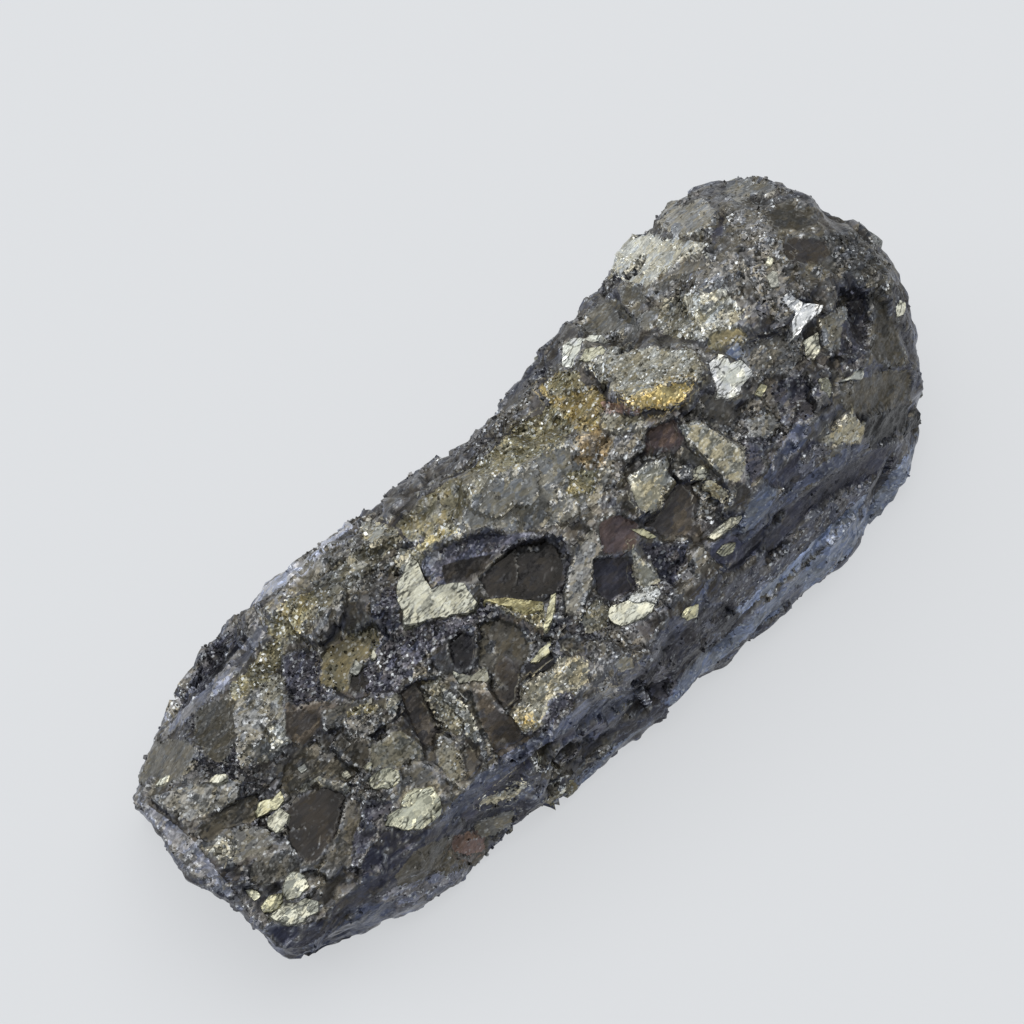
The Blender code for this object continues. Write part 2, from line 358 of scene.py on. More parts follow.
def press_onto_solid(obj):
    """Moves each point inwards along its normal until it meets the solid, and returns the places.

    A point that meets nothing goes to the nearest place on the solid.
    """
    target = solid_copy()
    wrap = obj.modifiers.new("press", "SHRINKWRAP")
    wrap.target = target
    wrap.wrap_method = "PROJECT"
    wrap.use_negative_direction = True
    wrap.use_positive_direction = False
    near = obj.modifiers.new("near", "SHRINKWRAP")
    near.target = target
    near.wrap_method = "NEAREST_SURFACEPOINT"
    graph = bpy.context.evaluated_depsgraph_get()
    places = read_vectors(obj.evaluated_get(graph).data.vertices, "co")
    obj.modifiers.clear()
    mesh = target.data
    bpy.data.objects.remove(target)
    bpy.data.meshes.remove(mesh)
    return places / MM


# Each round of breaks: typical tilt of a facet in degrees, the most that a point moves in millimetres,
# how many facets a point looks at, and the seed of the draws.
BREAKS = {
    "coarse": {"tilt_deg": 15.0, "limit": 0.7, "meet": 3, "seed": 23},
    "common": {"tilt_deg": 12.0, "limit": 0.28, "meet": 3, "seed": 5},
    "small": {"tilt_deg": 14.0, "limit": 0.13, "meet": 2, "seed": 17},
}
BORDER_WARP = 0.16          # how far the borders between facets are bent, in facet sizes
LEAST_FACING = 0.5          # planes steeper than this to a point's normal count as this steep
BATCHES = 60                # the points are matched to facets in so many parts, to save memory


def break_flat(points, normals, size, tilt_deg, limit, meet, seed):
    """Chisels the surface into flat facets.

    Each point looks at its nearest few seeds, after a little noise has warped the borders, and at
    the plane through each seed, whose tilt is drawn by chance. It moves along its normal onto the
    lowest of those planes, by at most limit, so facets meet in ridges. Returns the moves and the
    number of each point's facet.
    """
    rng = np.random.default_rng(seed)
    area = 2 * (SIZE[0] * SIZE[2] + SIZE[1] * SIZE[2]) + SIZE[0] * SIZE[1]
    seeds = rng.choice(len(points), int(area / size**2), replace=False)
    warped = points + BORDER_WARP * size * np.stack(
        [noise(points, width=size * 0.5, seed=seed + k) for k in range(3)], axis=1)
    centres = warped[seeds].astype(np.float32)
    reach = (centres**2).sum(axis=1)
    cells = np.empty((meet, len(points)), int)
    for part in np.array_split(np.arange(len(points)), BATCHES):
        away = reach - 2 * warped[part].astype(np.float32) @ centres.T
        for rank in range(meet):
            cells[rank, part] = np.argmin(away, axis=1)
            away[np.arange(len(part)), cells[rank, part]] = np.inf
    planes = normals[seeds] + rng.normal(size=(len(seeds), 3)) * math.tan(math.radians(tilt_deg))
    planes /= np.linalg.norm(planes, axis=1, keepdims=True)
    moves = np.empty((meet, len(points)))
    for rank, cell in enumerate(cells):
        plane = planes[cell]
        square = np.clip((normals * plane).sum(axis=1), LEAST_FACING, None)
        moves[rank] = ((points[seeds][cell] - points) * plane).sum(axis=1) / square
    lowest = np.argmin(moves, axis=0)
    every = np.arange(len(points))
    return np.clip(moves[lowest, every], -limit, limit), cells[lowest, every]


def facet_draws(cells, seed):
    """A number from 0 to 1 drawn for each facet, given to each of its points."""
    return np.random.default_rng(seed).random(cells.max() + 1)[cells]


def bulge(points, normals, rows, reach):
    """How far each point stands out from the mean of its neighbours, reach grid steps away."""
    grid = points.reshape(rows, -1, 3)
    row = np.arange(rows)
    up, down = np.minimum(row + reach, rows - 1), np.maximum(row - reach, 0)
    mean = (np.roll(grid, reach, axis=1) + np.roll(grid, -reach, axis=1) + grid[up] + grid[down]) / 4
    return ((points - mean.reshape(-1, 3)) * normals).sum(axis=1)


# ---------------------------------------------------------------- what lies where
# Outlines are places in the camera's frame. They are cast onto the lump along the camera's rays.

# Raised and sunken areas: height in millimetres, softness of the edge in view pixels, outline.
RELIEF = {
    "upper_terrace": (0.28, 5, (
        (405, 550), (430, 583), (465, 584), (487, 560), (510, 537), (560, 543), (597, 517), (632, 462),
        (655, 432), (690, 412), (760, 398), (792, 330), (840, 250), (700, 120), (480, 300), (300, 470),
        (330, 560))),
    "worm_hollow": (-0.40, 5, (
        (420, 560), (425, 582), (440, 592), (472, 585), (500, 563), (520, 542), (498, 537), (470, 552),
        (445, 557), (432, 548))),
    "fan_bowl": (-0.22, 8, (
        (490, 604), (548, 606), (545, 632), (530, 665), (514, 708), (498, 700), (486, 660))),
    "fan_pit": (-0.28, 6, ((448, 638), (462, 630), (490, 640), (494, 666), (480, 684), (458, 672))),
    "thumb_pit": (-0.35, 5, ((494, 642), (508, 652), (520, 690), (517, 708), (503, 711), (492, 690))),
    "plank_groove": (-0.38, 6, ((402, 684), (418, 676), (448, 734), (436, 746))),
    "second_groove": (-0.30, 6, ((470, 688), (488, 694), (514, 742), (500, 750))),
    "square_bed": (-0.28, 6, (
        (600, 510), (632, 462), (655, 436), (690, 450), (735, 490), (716, 530), (660, 560), (604, 570))),
    "dark_bed": (-0.20, 6, (
        (478, 580), (506, 545), (522, 535), (552, 541), (562, 565), (550, 596), (487, 602))),
    "near_lobe": (0.22, 16, ((196, 745), (232, 673), (283, 660), (304, 715), (270, 765), (215, 792))),
    "flank_groove": (-0.30, 7, (
        (170, 724), (180, 690), (225, 640), (264, 602), (272, 614), (236, 662), (200, 716), (180, 738))),
    "near_hollow": (-0.25, 12, ((286, 790), (330, 778), (354, 800), (345, 842), (318, 870), (300, 850))),
    "far_step": (0.20, 6, (
        (600, 250), (650, 215), (720, 205), (730, 238), (690, 262), (640, 285), (610, 300))),
    "blue_notch": (-0.35, 7, ((722, 342), (745, 334), (790, 340), (800, 372), (770, 392), (752, 372))),
    "right_face": (-0.25, 6, ((838, 372), (868, 362), (906, 368), (908, 404), (872, 416), (842, 410))),
    "wall_shelf": (0.25, 10, (
        (405, 835), (470, 815), (530, 800), (580, 780), (600, 812), (520, 850), (430, 905), (380, 900))),
}

# Where the outline stands out or is cut back: middle and reach in the camera's frame, millimetres.
OUTLINE_MOVES = {
    "left_flank": ((250, 606), 62, 1.15),
    "flank_bump": ((203, 650), 22, -0.60),
    "flank_fill": ((244, 602), 26, 1.00),
    "crest_fill": ((300, 552), 30, 0.85),
    "near_flank": ((176, 698), 34, 0.85),
    "near_corner": ((138, 778), 28, 0.80),
    "near_tuck": ((146, 816), 15, -0.55),
    "near_foot": ((186, 876), 28, 0.60),
    "crest": ((506, 390), 70, -0.34),
    "crest_left": ((440, 452), 44, -0.40),
    "crest_dip": ((528, 371), 16, -0.35),
    "far_shoulder": ((556, 330), 24, 0.45),
    "far_notch": ((646, 230), 26, -0.65),
    "far_top": ((752, 176), 28, 0.75),
    "right_high": ((910, 318), 26, 0.45),
    "right_edge": ((924, 386), 20, 0.45),
    "right_dip": ((921, 412), 16, -0.45),
    "right_foot": ((898, 492), 26, -0.15),
    "wall_foot": ((850, 552), 38, 0.30),
    "wall_middle": ((766, 636), 50, 0.22),
    "near_wall": ((462, 882), 50, 0.20),
    "front_fill": ((694, 692), 26, 0.60),
    "front_tuck": ((520, 830), 40, -0.80),
}

# Finishes of the mass: a screen colour, and how granular it is, from 0 to 1.
FINISHES = {
    "pitch": ((44, 43, 46), 0.10),
    "smoke": ((72, 68, 63), 0.06),
    "brown": ((84, 78, 70), 0.10),
    "plum": ((92, 80, 76), 0.06),
    "dusk": ((83, 80, 71), 0.18),
    "ink": ((76, 76, 82), 0.85),
    "ink_soft": ((68, 68, 74), 0.40),
    "ash": ((99, 97, 88), 0.30),
    "ash_rough": ((104, 103, 98), 0.75),
    "grey": ((118, 117, 109), 0.38),
    "stone": ((139, 137, 120), 0.30),
    "pale": ((153, 151, 135), 0.80),
    "chalk": ((185, 185, 171), 0.68),
    "olive": ((112, 107, 84), 0.40),
    "olive_rough": ((122, 118, 94), 0.85),
    "tan": ((136, 132, 113), 0.62),
    "gilt": ((166, 158, 122), 0.75),
    "gold": ((170, 154, 104), 0.65),
    "amber": ((126, 112, 86), 0.55),
    "rust": ((108, 90, 80), 0.35),
    # The slate finishes are painted light on the walls: slate is the floor's reflection, blue-grey,
    # slate_pale its painted sheen along the foot and the outline, and slate_dark its painted shade.
    "slate": ((82, 87, 101), 0.32),
    "slate_dark": ((59, 60, 70), 0.20),
    "slate_pale": ((119, 128, 144), 0.26),
    # mist and sheen are painted sheen and painted highlights, pale where the surface turns from the camera
    # and mirrors the floor
    "mist": ((127, 129, 135), 0.18),
    "sheen": ((170, 174, 182), 0.15),
    "ridge": ((104, 105, 110), 0.75),
}

# Faces of the mass, each laid over the ones before it: finish, lift from its own mean plane in
# millimetres (None leaves the shape as it is), how light it is against its finish, outline.
# The tone also holds painted light: on faces that lie in hollows, such as worm and blue_ink, it is raised to
# make up for the shade that falls there.
FACES = {
    # the crest, from its middle to the near end
    "plateau": ("grey", None, 1.5, (
        (425, 535), (470, 490), (520, 462), (560, 440), (600, 436), (612, 470), (600, 500), (560, 525),
        (520, 532), (480, 528), (450, 545))),
    "plateau_left": ("olive", None, 1.15, (
        (395, 525), (430, 492), (480, 465), (500, 470), (470, 505), (440, 530), (412, 542))),
    "plateau_rear": ("olive_rough", None, 1.5, (
        (470, 470), (520, 425), (560, 400), (580, 420), (560, 445), (500, 475))),
    "crest_band": ("pale", None, 0.6, (
        (270, 640), (300, 600), (345, 560), (392, 525), (402, 540), (360, 580), (320, 615), (285, 650))),
    "crest_gold": ("gilt", None, 0.75, (
        (262, 628), (285, 600), (315, 590), (318, 606), (300, 630), (275, 642))),
    "crest_mist": ("sheen", None, 1.1, (
        (236, 606), (262, 584), (300, 550), (350, 516), (352, 528), (318, 552), (290, 580), (262, 602),
        (246, 616))),
    "crest_bright": ("pale", 0.03, 1.5, ((360, 536), (372, 524), (388, 522), (386, 532), (370, 542))),
    # the near flank
    "flank_dark": ("ink", None, 0.8, (
        (240, 622), (262, 600), (262, 616), (240, 648), (222, 670), (200, 698), (180, 710), (176, 696),
        (186, 670), (204, 650))),
    "flank_shadow": ("slate_dark", None, 0.17, (
        (246, 626), (257, 618), (240, 650), (222, 674), (205, 690), (222, 662))),
    # painted sheen along the flank's outline
    "flank_ledge": ("mist", None, 0.95, (
        (262, 620), (270, 626), (256, 652), (240, 672), (222, 690), (200, 708), (180, 726), (162, 742),
        (158, 738), (180, 712), (204, 690), (224, 668), (240, 648))),
    # the rounded lobe at the near end, and the block beside it
    "lobe_side": ("ash", 0.0, 0.48, (
        (198, 712), (226, 696), (240, 702), (238, 742), (224, 764), (204, 756), (194, 735))),
    "lobe": ("grey", None, 0.9, (
        (234, 700), (246, 682), (264, 674), (282, 684), (284, 715), (292, 735), (282, 754), (262, 764),
        (240, 768), (236, 745))),
    "lobe_top": ("pale", 0.05, 0.6, ((258, 678), (282, 676), (284, 704), (262, 706))),
    "lobe_foot": ("chalk", 0.04, 0.85, ((268, 724), (290, 722), (288, 742), (272, 750))),
    "crumbs": ("olive_rough", None, 1.15, (
        (226, 692), (246, 672), (264, 648), (278, 640), (288, 656), (276, 674), (250, 692), (236, 700))),
    "ink_patch": ("ink", -0.08, 0.72, (
        (284, 655), (310, 648), (326, 664), (337, 690), (320, 707), (296, 706), (283, 682))),
    "under_ink": ("brown", 0.0, 0.75, ((286, 702), (342, 700), (330, 720), (300, 748), (285, 736))),
    "olive_block": ("olive", 0.10, 0.6, (
        (320, 656), (345, 640), (372, 622), (384, 645), (380, 668), (362, 692), (340, 692), (320, 682))),
    "olive_cut": ("brown", -0.10, 0.12, ((352, 672), (372, 662), (378, 672), (364, 692), (348, 694))),
    # the near end
    "tick_plate": ("ash", 0.04, 0.38, (
        (322, 712), (345, 702), (395, 692), (398, 706), (372, 716), (345, 728), (322, 732))),
    "tick_stripe": ("gilt", 0.06, 0.44, ((348, 712), (370, 700), (380, 704), (362, 722), (346, 727))),
    "tick_white": ("chalk", 0.08, 0.75, ((384, 702), (398, 692), (401, 702), (394, 716), (385, 712))),
    "brown_band": ("dusk", 0.0, 0.65, (
        (284, 766), (300, 754), (342, 760), (362, 770), (346, 784), (318, 785), (300, 792), (278, 788))),
    "brown_stripe": ("stone", 0.06, 0.56, (
        (300, 788), (320, 777), (346, 784), (354, 793), (340, 792), (318, 785), (302, 795))),
    "near_brown": ("brown", -0.10, 0.2, (
        (300, 794), (330, 786), (346, 796), (341, 816), (332, 846), (318, 866), (300, 862), (288, 838),
        (286, 812))),
    "near_brown_side": ("dusk", 0.03, 0.8, (
        (346, 798), (362, 800), (359, 830), (346, 860), (330, 882), (318, 870), (333, 846), (341, 818))),
    "near_blue": ("ink_soft", None, 0.75, (
        (362, 800), (390, 800), (402, 836), (396, 880), (370, 886), (350, 872), (352, 846), (361, 820))),
    "near_low": ("grey", 0.05, 0.56, (
        (200, 846), (216, 834), (240, 824), (264, 828), (276, 840), (262, 856), (240, 861), (225, 870),
        (210, 858))),
    "near_low_pale": ("pale", 0.08, 1.05, ((206, 848), (222, 836), (234, 842), (232, 856), (220, 860))),
    "near_low_dark": ("ash", -0.05, 0.48, (
        (252, 862), (280, 850), (302, 862), (300, 873), (280, 881), (262, 888), (248, 878))),
    "near_band": ("dusk", -0.10, 0.65, (
        (236, 800), (256, 794), (262, 812), (250, 823), (228, 827), (206, 841), (196, 833), (214, 814))),
    "near_shoulder": ("ash", 0.06, 1.1, (
        (158, 742), (186, 739), (202, 752), (196, 770), (170, 786), (150, 796), (139, 786), (146, 764))),
    "near_middle": ("grey", 0.04, 0.8, (
        (150, 797), (200, 784), (241, 779), (240, 800), (215, 812), (190, 821), (165, 811))),
    # painted sheen along the near end's lower edge
    "near_edge": ("mist", None, 0.9, (
        (134, 800), (150, 806), (182, 830), (202, 850), (224, 880), (252, 916), (266, 934), (255, 938),
        (234, 908), (204, 872), (168, 842), (144, 818))),
    "near_tip": ("slate_dark", None, 0.9, (
        (262, 925), (300, 926), (340, 915), (330, 940), (300, 958), (280, 950))),
    # the middle: dark matrix, hollows, and the slabs and planks below them
    "matrix": ("ink", None, 1.3, (
        (384, 590), (399, 578), (400, 622), (412, 626), (476, 614), (482, 598), (492, 610), (472, 634),
        (440, 646), (420, 662), (386, 702), (368, 692), (364, 670), (381, 642), (371, 610))),
    "pale_beside": ("pale", 0.04, 1.5, ((392, 562), (404, 548), (419, 550), (421, 561), (402, 577))),
    "yellow_thread": ("gilt", 0.10, 0.8, (
        (412, 554), (424, 540), (438, 528), (454, 522), (458, 530), (440, 540), (426, 552), (416, 558))),
    "worm": ("ink_soft", -0.05, 1.9, (
        (420, 560), (445, 545), (480, 535), (520, 533), (548, 534), (540, 549), (505, 553), (475, 561),
        (470, 577), (445, 585), (424, 577))),
    "worm_gleam": ("sheen", 0.0, 0.38, (
        (425, 556), (436, 551), (447, 553), (442, 561), (434, 564), (431, 571), (426, 566))),
    "worm_brown": ("smoke", -0.06, 0.42, (
        (441, 566), (470, 557), (501, 553), (482, 573), (470, 581), (446, 584))),
    "dark_pane": ("smoke", -0.08, 0.25, (
        (478, 578), (503, 556), (514, 546), (545, 540), (561, 550), (563, 576), (555, 592), (544, 601),
        (510, 597), (488, 598))),
    "pane_collar": ("ink", None, 0.4, (
        (556, 590), (566, 586), (568, 620), (556, 650), (545, 660), (540, 650), (552, 625))),
    "fan_top": ("olive_rough", 0.04, 1.1, ((494, 606), (546, 608), (544, 629), (520, 620), (500, 612))),
    "fan_line": ("brown", -0.10, 1.9, (
        (500, 613), (520, 620), (544, 630), (543, 634), (518, 625), (498, 618))),
    "fan_low": ("ash_rough", 0.0, 0.7, ((504, 624), (540, 636), (549, 643), (536, 663), (524, 656))),
    "bowl": ("dusk", -0.10, 0.5, (
        (478, 624), (500, 616), (522, 628), (530, 650), (522, 668), (505, 692), (494, 682), (481, 655))),
    "pit": ("pitch", -0.10, 0.32, (
        (450, 642), (462, 631), (475, 635), (478, 660), (469, 672), (456, 675), (452, 660))),
    "pit_wall": ("ash", -0.08, 0.6, ((478, 640), (486, 632), (496, 660), (490, 672), (480, 668))),
    "thumb": ("brown", 0.10, 0.36, (
        (494, 668), (506, 656), (520, 666), (522, 696), (510, 711), (500, 706), (493, 692))),
    "thumb_shade": ("pitch", -0.15, 0.2, ((520, 666), (546, 650), (562, 660), (546, 672), (526, 682))),
    "slab_crown": ("dusk", 0.0, 0.55, ((558, 640), (578, 634), (587, 651), (575, 656), (561, 653))),
    "slab": ("tan", 0.10, 1.3, (
        (502, 718), (520, 702), (523, 683), (548, 670), (561, 656), (578, 656), (589, 664), (586, 683),
        (570, 702), (545, 723), (526, 733), (508, 729))),
    "slab_gold": ("gold", 0.10, 1.1, ((504, 720), (520, 714), (536, 722), (524, 732), (509, 729))),
    "slab_ink": ("ink", 0.0, 1.3, ((548, 700), (572, 690), (578, 700), (556, 722), (540, 728))),
    "plank_groove": ("smoke", -0.20, 1.4, (
        (402, 692), (418, 680), (432, 700), (441, 725), (440, 743), (425, 746), (410, 720))),
    "plank_tan": ("tan", 0.02, 0.85, (
        (420, 681), (440, 678), (456, 705), (466, 730), (456, 736), (440, 728), (430, 705))),
    "plank_grey": ("ash", 0.0, 0.28, (
        (449, 680), (470, 690), (486, 720), (502, 756), (486, 766), (478, 742), (468, 712), (453, 692))),
    "plank_white": ("chalk", 0.08, 0.55, (
        (439, 682), (448, 687), (471, 714), (482, 741), (474, 743), (461, 722), (447, 700))),
    "tan_leaf": ("tan", 0.06, 0.45, (
        (438, 736), (446, 733), (461, 755), (467, 776), (452, 783), (438, 766), (435, 750))),
    "brown_flat": ("brown", -0.15, 1.0, (
        (470, 688), (490, 690), (505, 713), (522, 735), (560, 740), (520, 760), (500, 763), (489, 740),
        (478, 715))),
    # between the middle and the near end
    "wedge": ("stone", 0.08, 0.36, ((370, 746), (400, 729), (421, 748), (425, 758), (400, 767), (371, 768))),
    "wedge_low": ("grey", 0.03, 0.32, ((402, 770), (425, 762), (437, 778), (420, 789), (403, 786))),
    "wedge_left": ("dusk", 0.0, 0.3, (
        (342, 732), (370, 734), (372, 752), (362, 770), (346, 765), (330, 746))),
    "stripes": ("ash_rough", 0.04, 0.9, ((340, 720), (372, 712), (398, 716), (372, 734), (350, 738))),
    # the far side of the middle, above the long wall
    "grey_leaf": ("grey", 0.10, 0.75, (
        (564, 592), (568, 570), (580, 545), (596, 524), (612, 504), (619, 515), (601, 541), (597, 571),
        (588, 596), (578, 616), (565, 613))),
    "leaf_foot": ("pale", 0.02, 0.65, ((580, 618), (598, 600), (610, 608), (606, 628), (588, 634))),
    "taupe": ("dusk", 0.0, 0.48, ((614, 498), (630, 489), (646, 505), (641, 517), (620, 517))),
    "plum_pane": ("plum", -0.05, 1.1, (
        (598, 524), (620, 514), (637, 523), (641, 541), (620, 556), (604, 553))),
    "dark_hole": ("pitch", -0.22, 2.8, (
        (594, 560), (620, 557), (637, 565), (635, 590), (612, 601), (598, 593))),
    "fin": ("stone", 0.08, 1.15, ((632, 544), (643, 559), (656, 570), (661, 583), (640, 589), (634, 575))),
    "square_bed": ("smoke", -0.15, 2.1, (
        (658, 502), (678, 484), (700, 482), (716, 500), (721, 516), (700, 536), (665, 536), (645, 526),
        (656, 512))),
    "bed_crumbs": ("ash_rough", 0.0, 2.5, ((698, 500), (714, 498), (722, 514), (712, 524), (696, 516))),
    "square": ("stone", 0.16, 1.25, (
        (626, 479), (648, 462), (663, 460), (673, 487), (652, 514), (641, 509))),
    "square_rim": ("chalk", 0.18, 1.25, (
        (628, 478), (648, 462), (663, 460), (665, 466), (650, 469), (633, 480))),
    "plum_high": ("plum", -0.10, 1.0, (
        (648, 430), (675, 419), (683, 440), (672, 456), (655, 459), (643, 451))),
    "ink_ring": ("ash_rough", 0.0, 0.7, (
        (640, 456), (672, 450), (684, 462), (690, 480), (676, 480), (666, 462), (646, 465))),
    "ink_line": ("ash_rough", 0.05, 4.0, (
        (684, 470), (690, 466), (706, 492), (716, 512), (708, 514), (698, 494))),
    "big_grey": ("stone", 0.12, 0.7, (
        (679, 426), (698, 420), (722, 436), (743, 446), (748, 464), (738, 483), (722, 479), (700, 456),
        (688, 446))),
    "grey_shade": ("dusk", -0.05, 0.9, (
        (680, 446), (698, 456), (722, 480), (716, 482), (696, 468), (680, 458))),
    "grey_right": ("grey", 0.06, 1.0, ((744, 420), (770, 414), (782, 425), (771, 436), (750, 439))),
    "ripples": ("ink_soft", 0.0, 0.88, ((744, 440), (762, 448), (768, 470), (752, 484), (746, 462))),
    "rust_leaf": ("tan", 0.06, 2.7, ((702, 482), (712, 479), (729, 494), (727, 501), (712, 497))),
    # the stain on the crest, and the dome beside it
    "gold_run": ("gold", None, 0.78, (
        (538, 388), (560, 372), (590, 385), (606, 395), (606, 412), (598, 430), (576, 432), (562, 414),
        (552, 402))),
    "stain": ("amber", None, 1.3, (
        (576, 436), (600, 430), (613, 442), (606, 462), (590, 472), (574, 464), (580, 450))),
    "stain_left": ("gilt", None, 0.78, ((534, 424), (560, 414), (566, 428), (556, 440), (536, 440))),
    "stain_foot": ("olive_rough", None, 1.45, ((566, 472), (598, 470), (596, 492), (572, 498))),
    "stain_rust": ("rust", None, 2.0, ((602, 402), (640, 404), (640, 412), (606, 412))),
    "gold_fleck": ("gilt", 0.0, 1.0, ((566, 486), (578, 480), (590, 488), (580, 496), (568, 494))),
    "dome": ("pale", 0.05, 0.9, (
        (588, 372), (606, 355), (650, 347), (692, 350), (704, 366), (702, 382), (680, 392), (640, 396),
        (604, 388))),
    "dome_gold": ("gold", 0.10, 1.35, (
        (616, 396), (640, 383), (668, 381), (694, 385), (684, 399), (662, 409), (636, 408))),
    "rear_olive": ("gilt", 0.05, 0.56, (
        (544, 384), (560, 370), (578, 372), (586, 388), (568, 396), (550, 396))),
    "low_grey": ("tan", 0.04, 0.74, ((600, 414), (642, 414), (642, 430), (620, 434), (603, 430))),
    "low_block": ("ash_rough", 0.06, 1.1, ((613, 440), (640, 430), (646, 450), (630, 463), (611, 457))),
    # from the dome to the far end
    "granules": ("pale", None, 0.9, (
        (655, 318), (664, 300), (690, 292), (730, 296), (744, 310), (736, 334), (700, 340), (664, 334))),
    "granules_olive": ("ash_rough", None, 1.75, (
        (688, 292), (700, 268), (732, 260), (766, 268), (772, 290), (745, 297), (715, 296))),
    "granules_core": ("chalk", None, 1.15, (
        (694, 298), (722, 290), (738, 304), (730, 324), (704, 330), (690, 316))),
    "mid_brown": ("olive", 0.0, 0.92, ((712, 332), (740, 326), (748, 340), (724, 352), (706, 346))),
    "knob": ("dusk", 0.05, 0.4, ((739, 286), (752, 281), (757, 295), (744, 299))),
    "upper_band": ("ash", 0.0, 0.8, (
        (618, 288), (650, 274), (690, 262), (704, 266), (662, 291), (640, 304), (622, 302))),
    "upper_pane": ("ash", 0.05, 1.2, (
        (578, 322), (600, 304), (616, 301), (637, 326), (620, 337), (600, 337))),
    "upper_line": ("ash", -0.12, 1.05, ((606, 300), (614, 298), (640, 326), (636, 332))),
    "upper_knob": ("grey", 0.05, 1.1, ((638, 316), (655, 304), (662, 314), (652, 330), (640, 330))),
    "pale_fan": ("chalk", 0.12, 1.2, (
        (614, 280), (627, 244), (648, 237), (680, 241), (713, 248), (709, 257), (686, 259), (668, 269),
        (640, 282))),
    "fan_shade": ("dusk", -0.06, 2.4, (
        (640, 284), (668, 271), (688, 261), (716, 258), (700, 268), (660, 282))),
    "far_grey": ("grey", 0.10, 1.5, (
        (658, 226), (671, 208), (695, 201), (713, 205), (718, 222), (700, 233), (680, 239))),
    "far_line": ("pitch", -0.10, 2.6, (
        (716, 206), (724, 208), (722, 236), (714, 244), (710, 236), (718, 224))),
    "rim_green": ("grey", 0.06, 1.18, (
        (722, 192), (742, 179), (766, 179), (780, 190), (766, 199), (740, 201))),
    "far_smoke": ("dusk", 0.0, 0.75, (
        (768, 213), (785, 202), (811, 205), (817, 220), (795, 233), (773, 233))),
    "far_smoke_low": ("smoke", 0.0, 0.8, (
        (779, 246), (795, 236), (826, 240), (837, 253), (820, 263), (793, 261))),
    "far_granules": ("ash_rough", None, 1.7, (
        (724, 214), (760, 204), (766, 222), (782, 240), (792, 262), (770, 256), (740, 236))),
    # the right of the far end
    "blue_ink": ("ash_rough", -0.08, 1.5, (
        (722, 348), (760, 338), (802, 332), (806, 350), (790, 372), (760, 377), (742, 362))),
    "blue_knob": ("slate_pale", 0.05, 1.0, ((726, 353), (738, 342), (746, 352), (737, 361))),
    "ink_low": ("ink_soft", None, 0.72, (
        (770, 386), (800, 372), (818, 380), (818, 410), (800, 432), (782, 422))),
    "right_grey": ("grey", 0.05, 1.3, (
        (820, 320), (840, 307), (850, 325), (841, 346), (826, 352), (818, 336))),
    "right_band": ("ink_soft", None, 1.1, (
        (846, 300), (862, 288), (870, 330), (862, 372), (848, 382), (838, 360))),
    "right_high": ("dusk", 0.0, 0.7, (
        (862, 298), (882, 290), (898, 330), (908, 366), (882, 370), (867, 340))),
    "right_pane": ("dusk", -0.05, 0.95, (
        (836, 393), (850, 385), (880, 371), (912, 371), (910, 403), (880, 413), (850, 415), (839, 406))),
    "right_notch": ("slate_dark", -0.10, 0.1, ((852, 414), (876, 412), (870, 424), (860, 424))),
    "wall_wing": ("tan", 0.14, 1.8, (
        (820, 441), (835, 426), (848, 413), (863, 426), (863, 442), (845, 445))),
    "far_edge": ("ash_rough", None, 0.5, (
        (818, 236), (860, 226), (882, 260), (892, 296), (870, 286), (840, 268))),
    "right_low": ("pitch", 0.0, 0.1, (
        (866, 416), (906, 405), (914, 420), (896, 441), (872, 448), (861, 432))),
    # the long wall along the front: bands that run the length of the lump, and chips, in slate finishes that
    # paint the floor's reflection, sheen and shade on it
    "wall_ledge": ("slate", None, 1.0, (
        (752, 500), (768, 470), (790, 430), (802, 418), (812, 430), (800, 452), (780, 478), (764, 506),
        (740, 532), (722, 548), (732, 520))),
    "wall_ledge_dark": ("slate_dark", -0.06, 1.0, (
        (770, 486), (786, 456), (812, 440), (822, 445), (800, 468), (780, 492), (762, 500))),
    "blue_granules": ("ridge", 0.05, 1.0, (
        (797, 462), (806, 448), (826, 442), (832, 450), (818, 468), (802, 478))),
    "wall_upper": ("slate", None, 1.0, (
        (690, 606), (720, 566), (750, 534), (780, 500), (820, 466), (852, 445), (872, 443), (856, 458),
        (810, 486), (776, 514), (744, 546), (712, 582), (696, 612))),
    "wall_upper_pale": ("slate_pale", 0.06, 0.6, (
        (738, 534), (746, 508), (766, 486), (782, 488), (770, 508), (752, 528))),
    "wall_black": ("slate_dark", -0.14, 0.9, (
        (722, 578), (744, 548), (784, 512), (824, 484), (862, 458), (892, 444), (890, 466), (868, 486),
        (832, 500), (798, 526), (770, 546), (742, 570))),
    "wall_ridge": ("ridge", 0.14, 0.78, (
        (722, 602), (738, 580), (764, 562), (782, 542), (806, 526), (836, 503), (862, 482), (870, 488),
        (846, 512), (814, 534), (792, 556), (768, 578), (746, 594), (728, 608))),
    "wall_under": ("slate_pale", -0.08, 1.9, (
        (700, 640), (730, 610), (760, 588), (800, 556), (840, 520), (870, 494), (872, 502), (846, 528),
        (806, 562), (768, 594), (732, 622), (706, 648))),
    "wall_sheen": ("slate_pale", None, 0.92, (
        (660, 702), (700, 658), (742, 624), (784, 586), (832, 542), (872, 500), (902, 460), (924, 434),
        (926, 468), (902, 500), (872, 534), (832, 572), (790, 604), (742, 642), (704, 678), (676, 706))),
    "sheen_chip": ("slate", 0.0, 1.0, ((778, 602), (792, 586), (804, 584), (800, 600), (786, 610))),
    "wall_coarse": ("ink_soft", None, 0.6, (
        (630, 692), (650, 662), (676, 640), (700, 612), (728, 600), (738, 616), (716, 640), (690, 664),
        (664, 690), (640, 704))),
    "coarse_crumbs": ("ridge", 0.06, 0.7, ((700, 622), (712, 617), (716, 630), (704, 637))),
    "coarse_pale": ("grey", 0.06, 1.35, ((614, 662), (630, 655), (634, 666), (620, 672))),
    "crumb_strip": ("ash_rough", None, 1.75, (
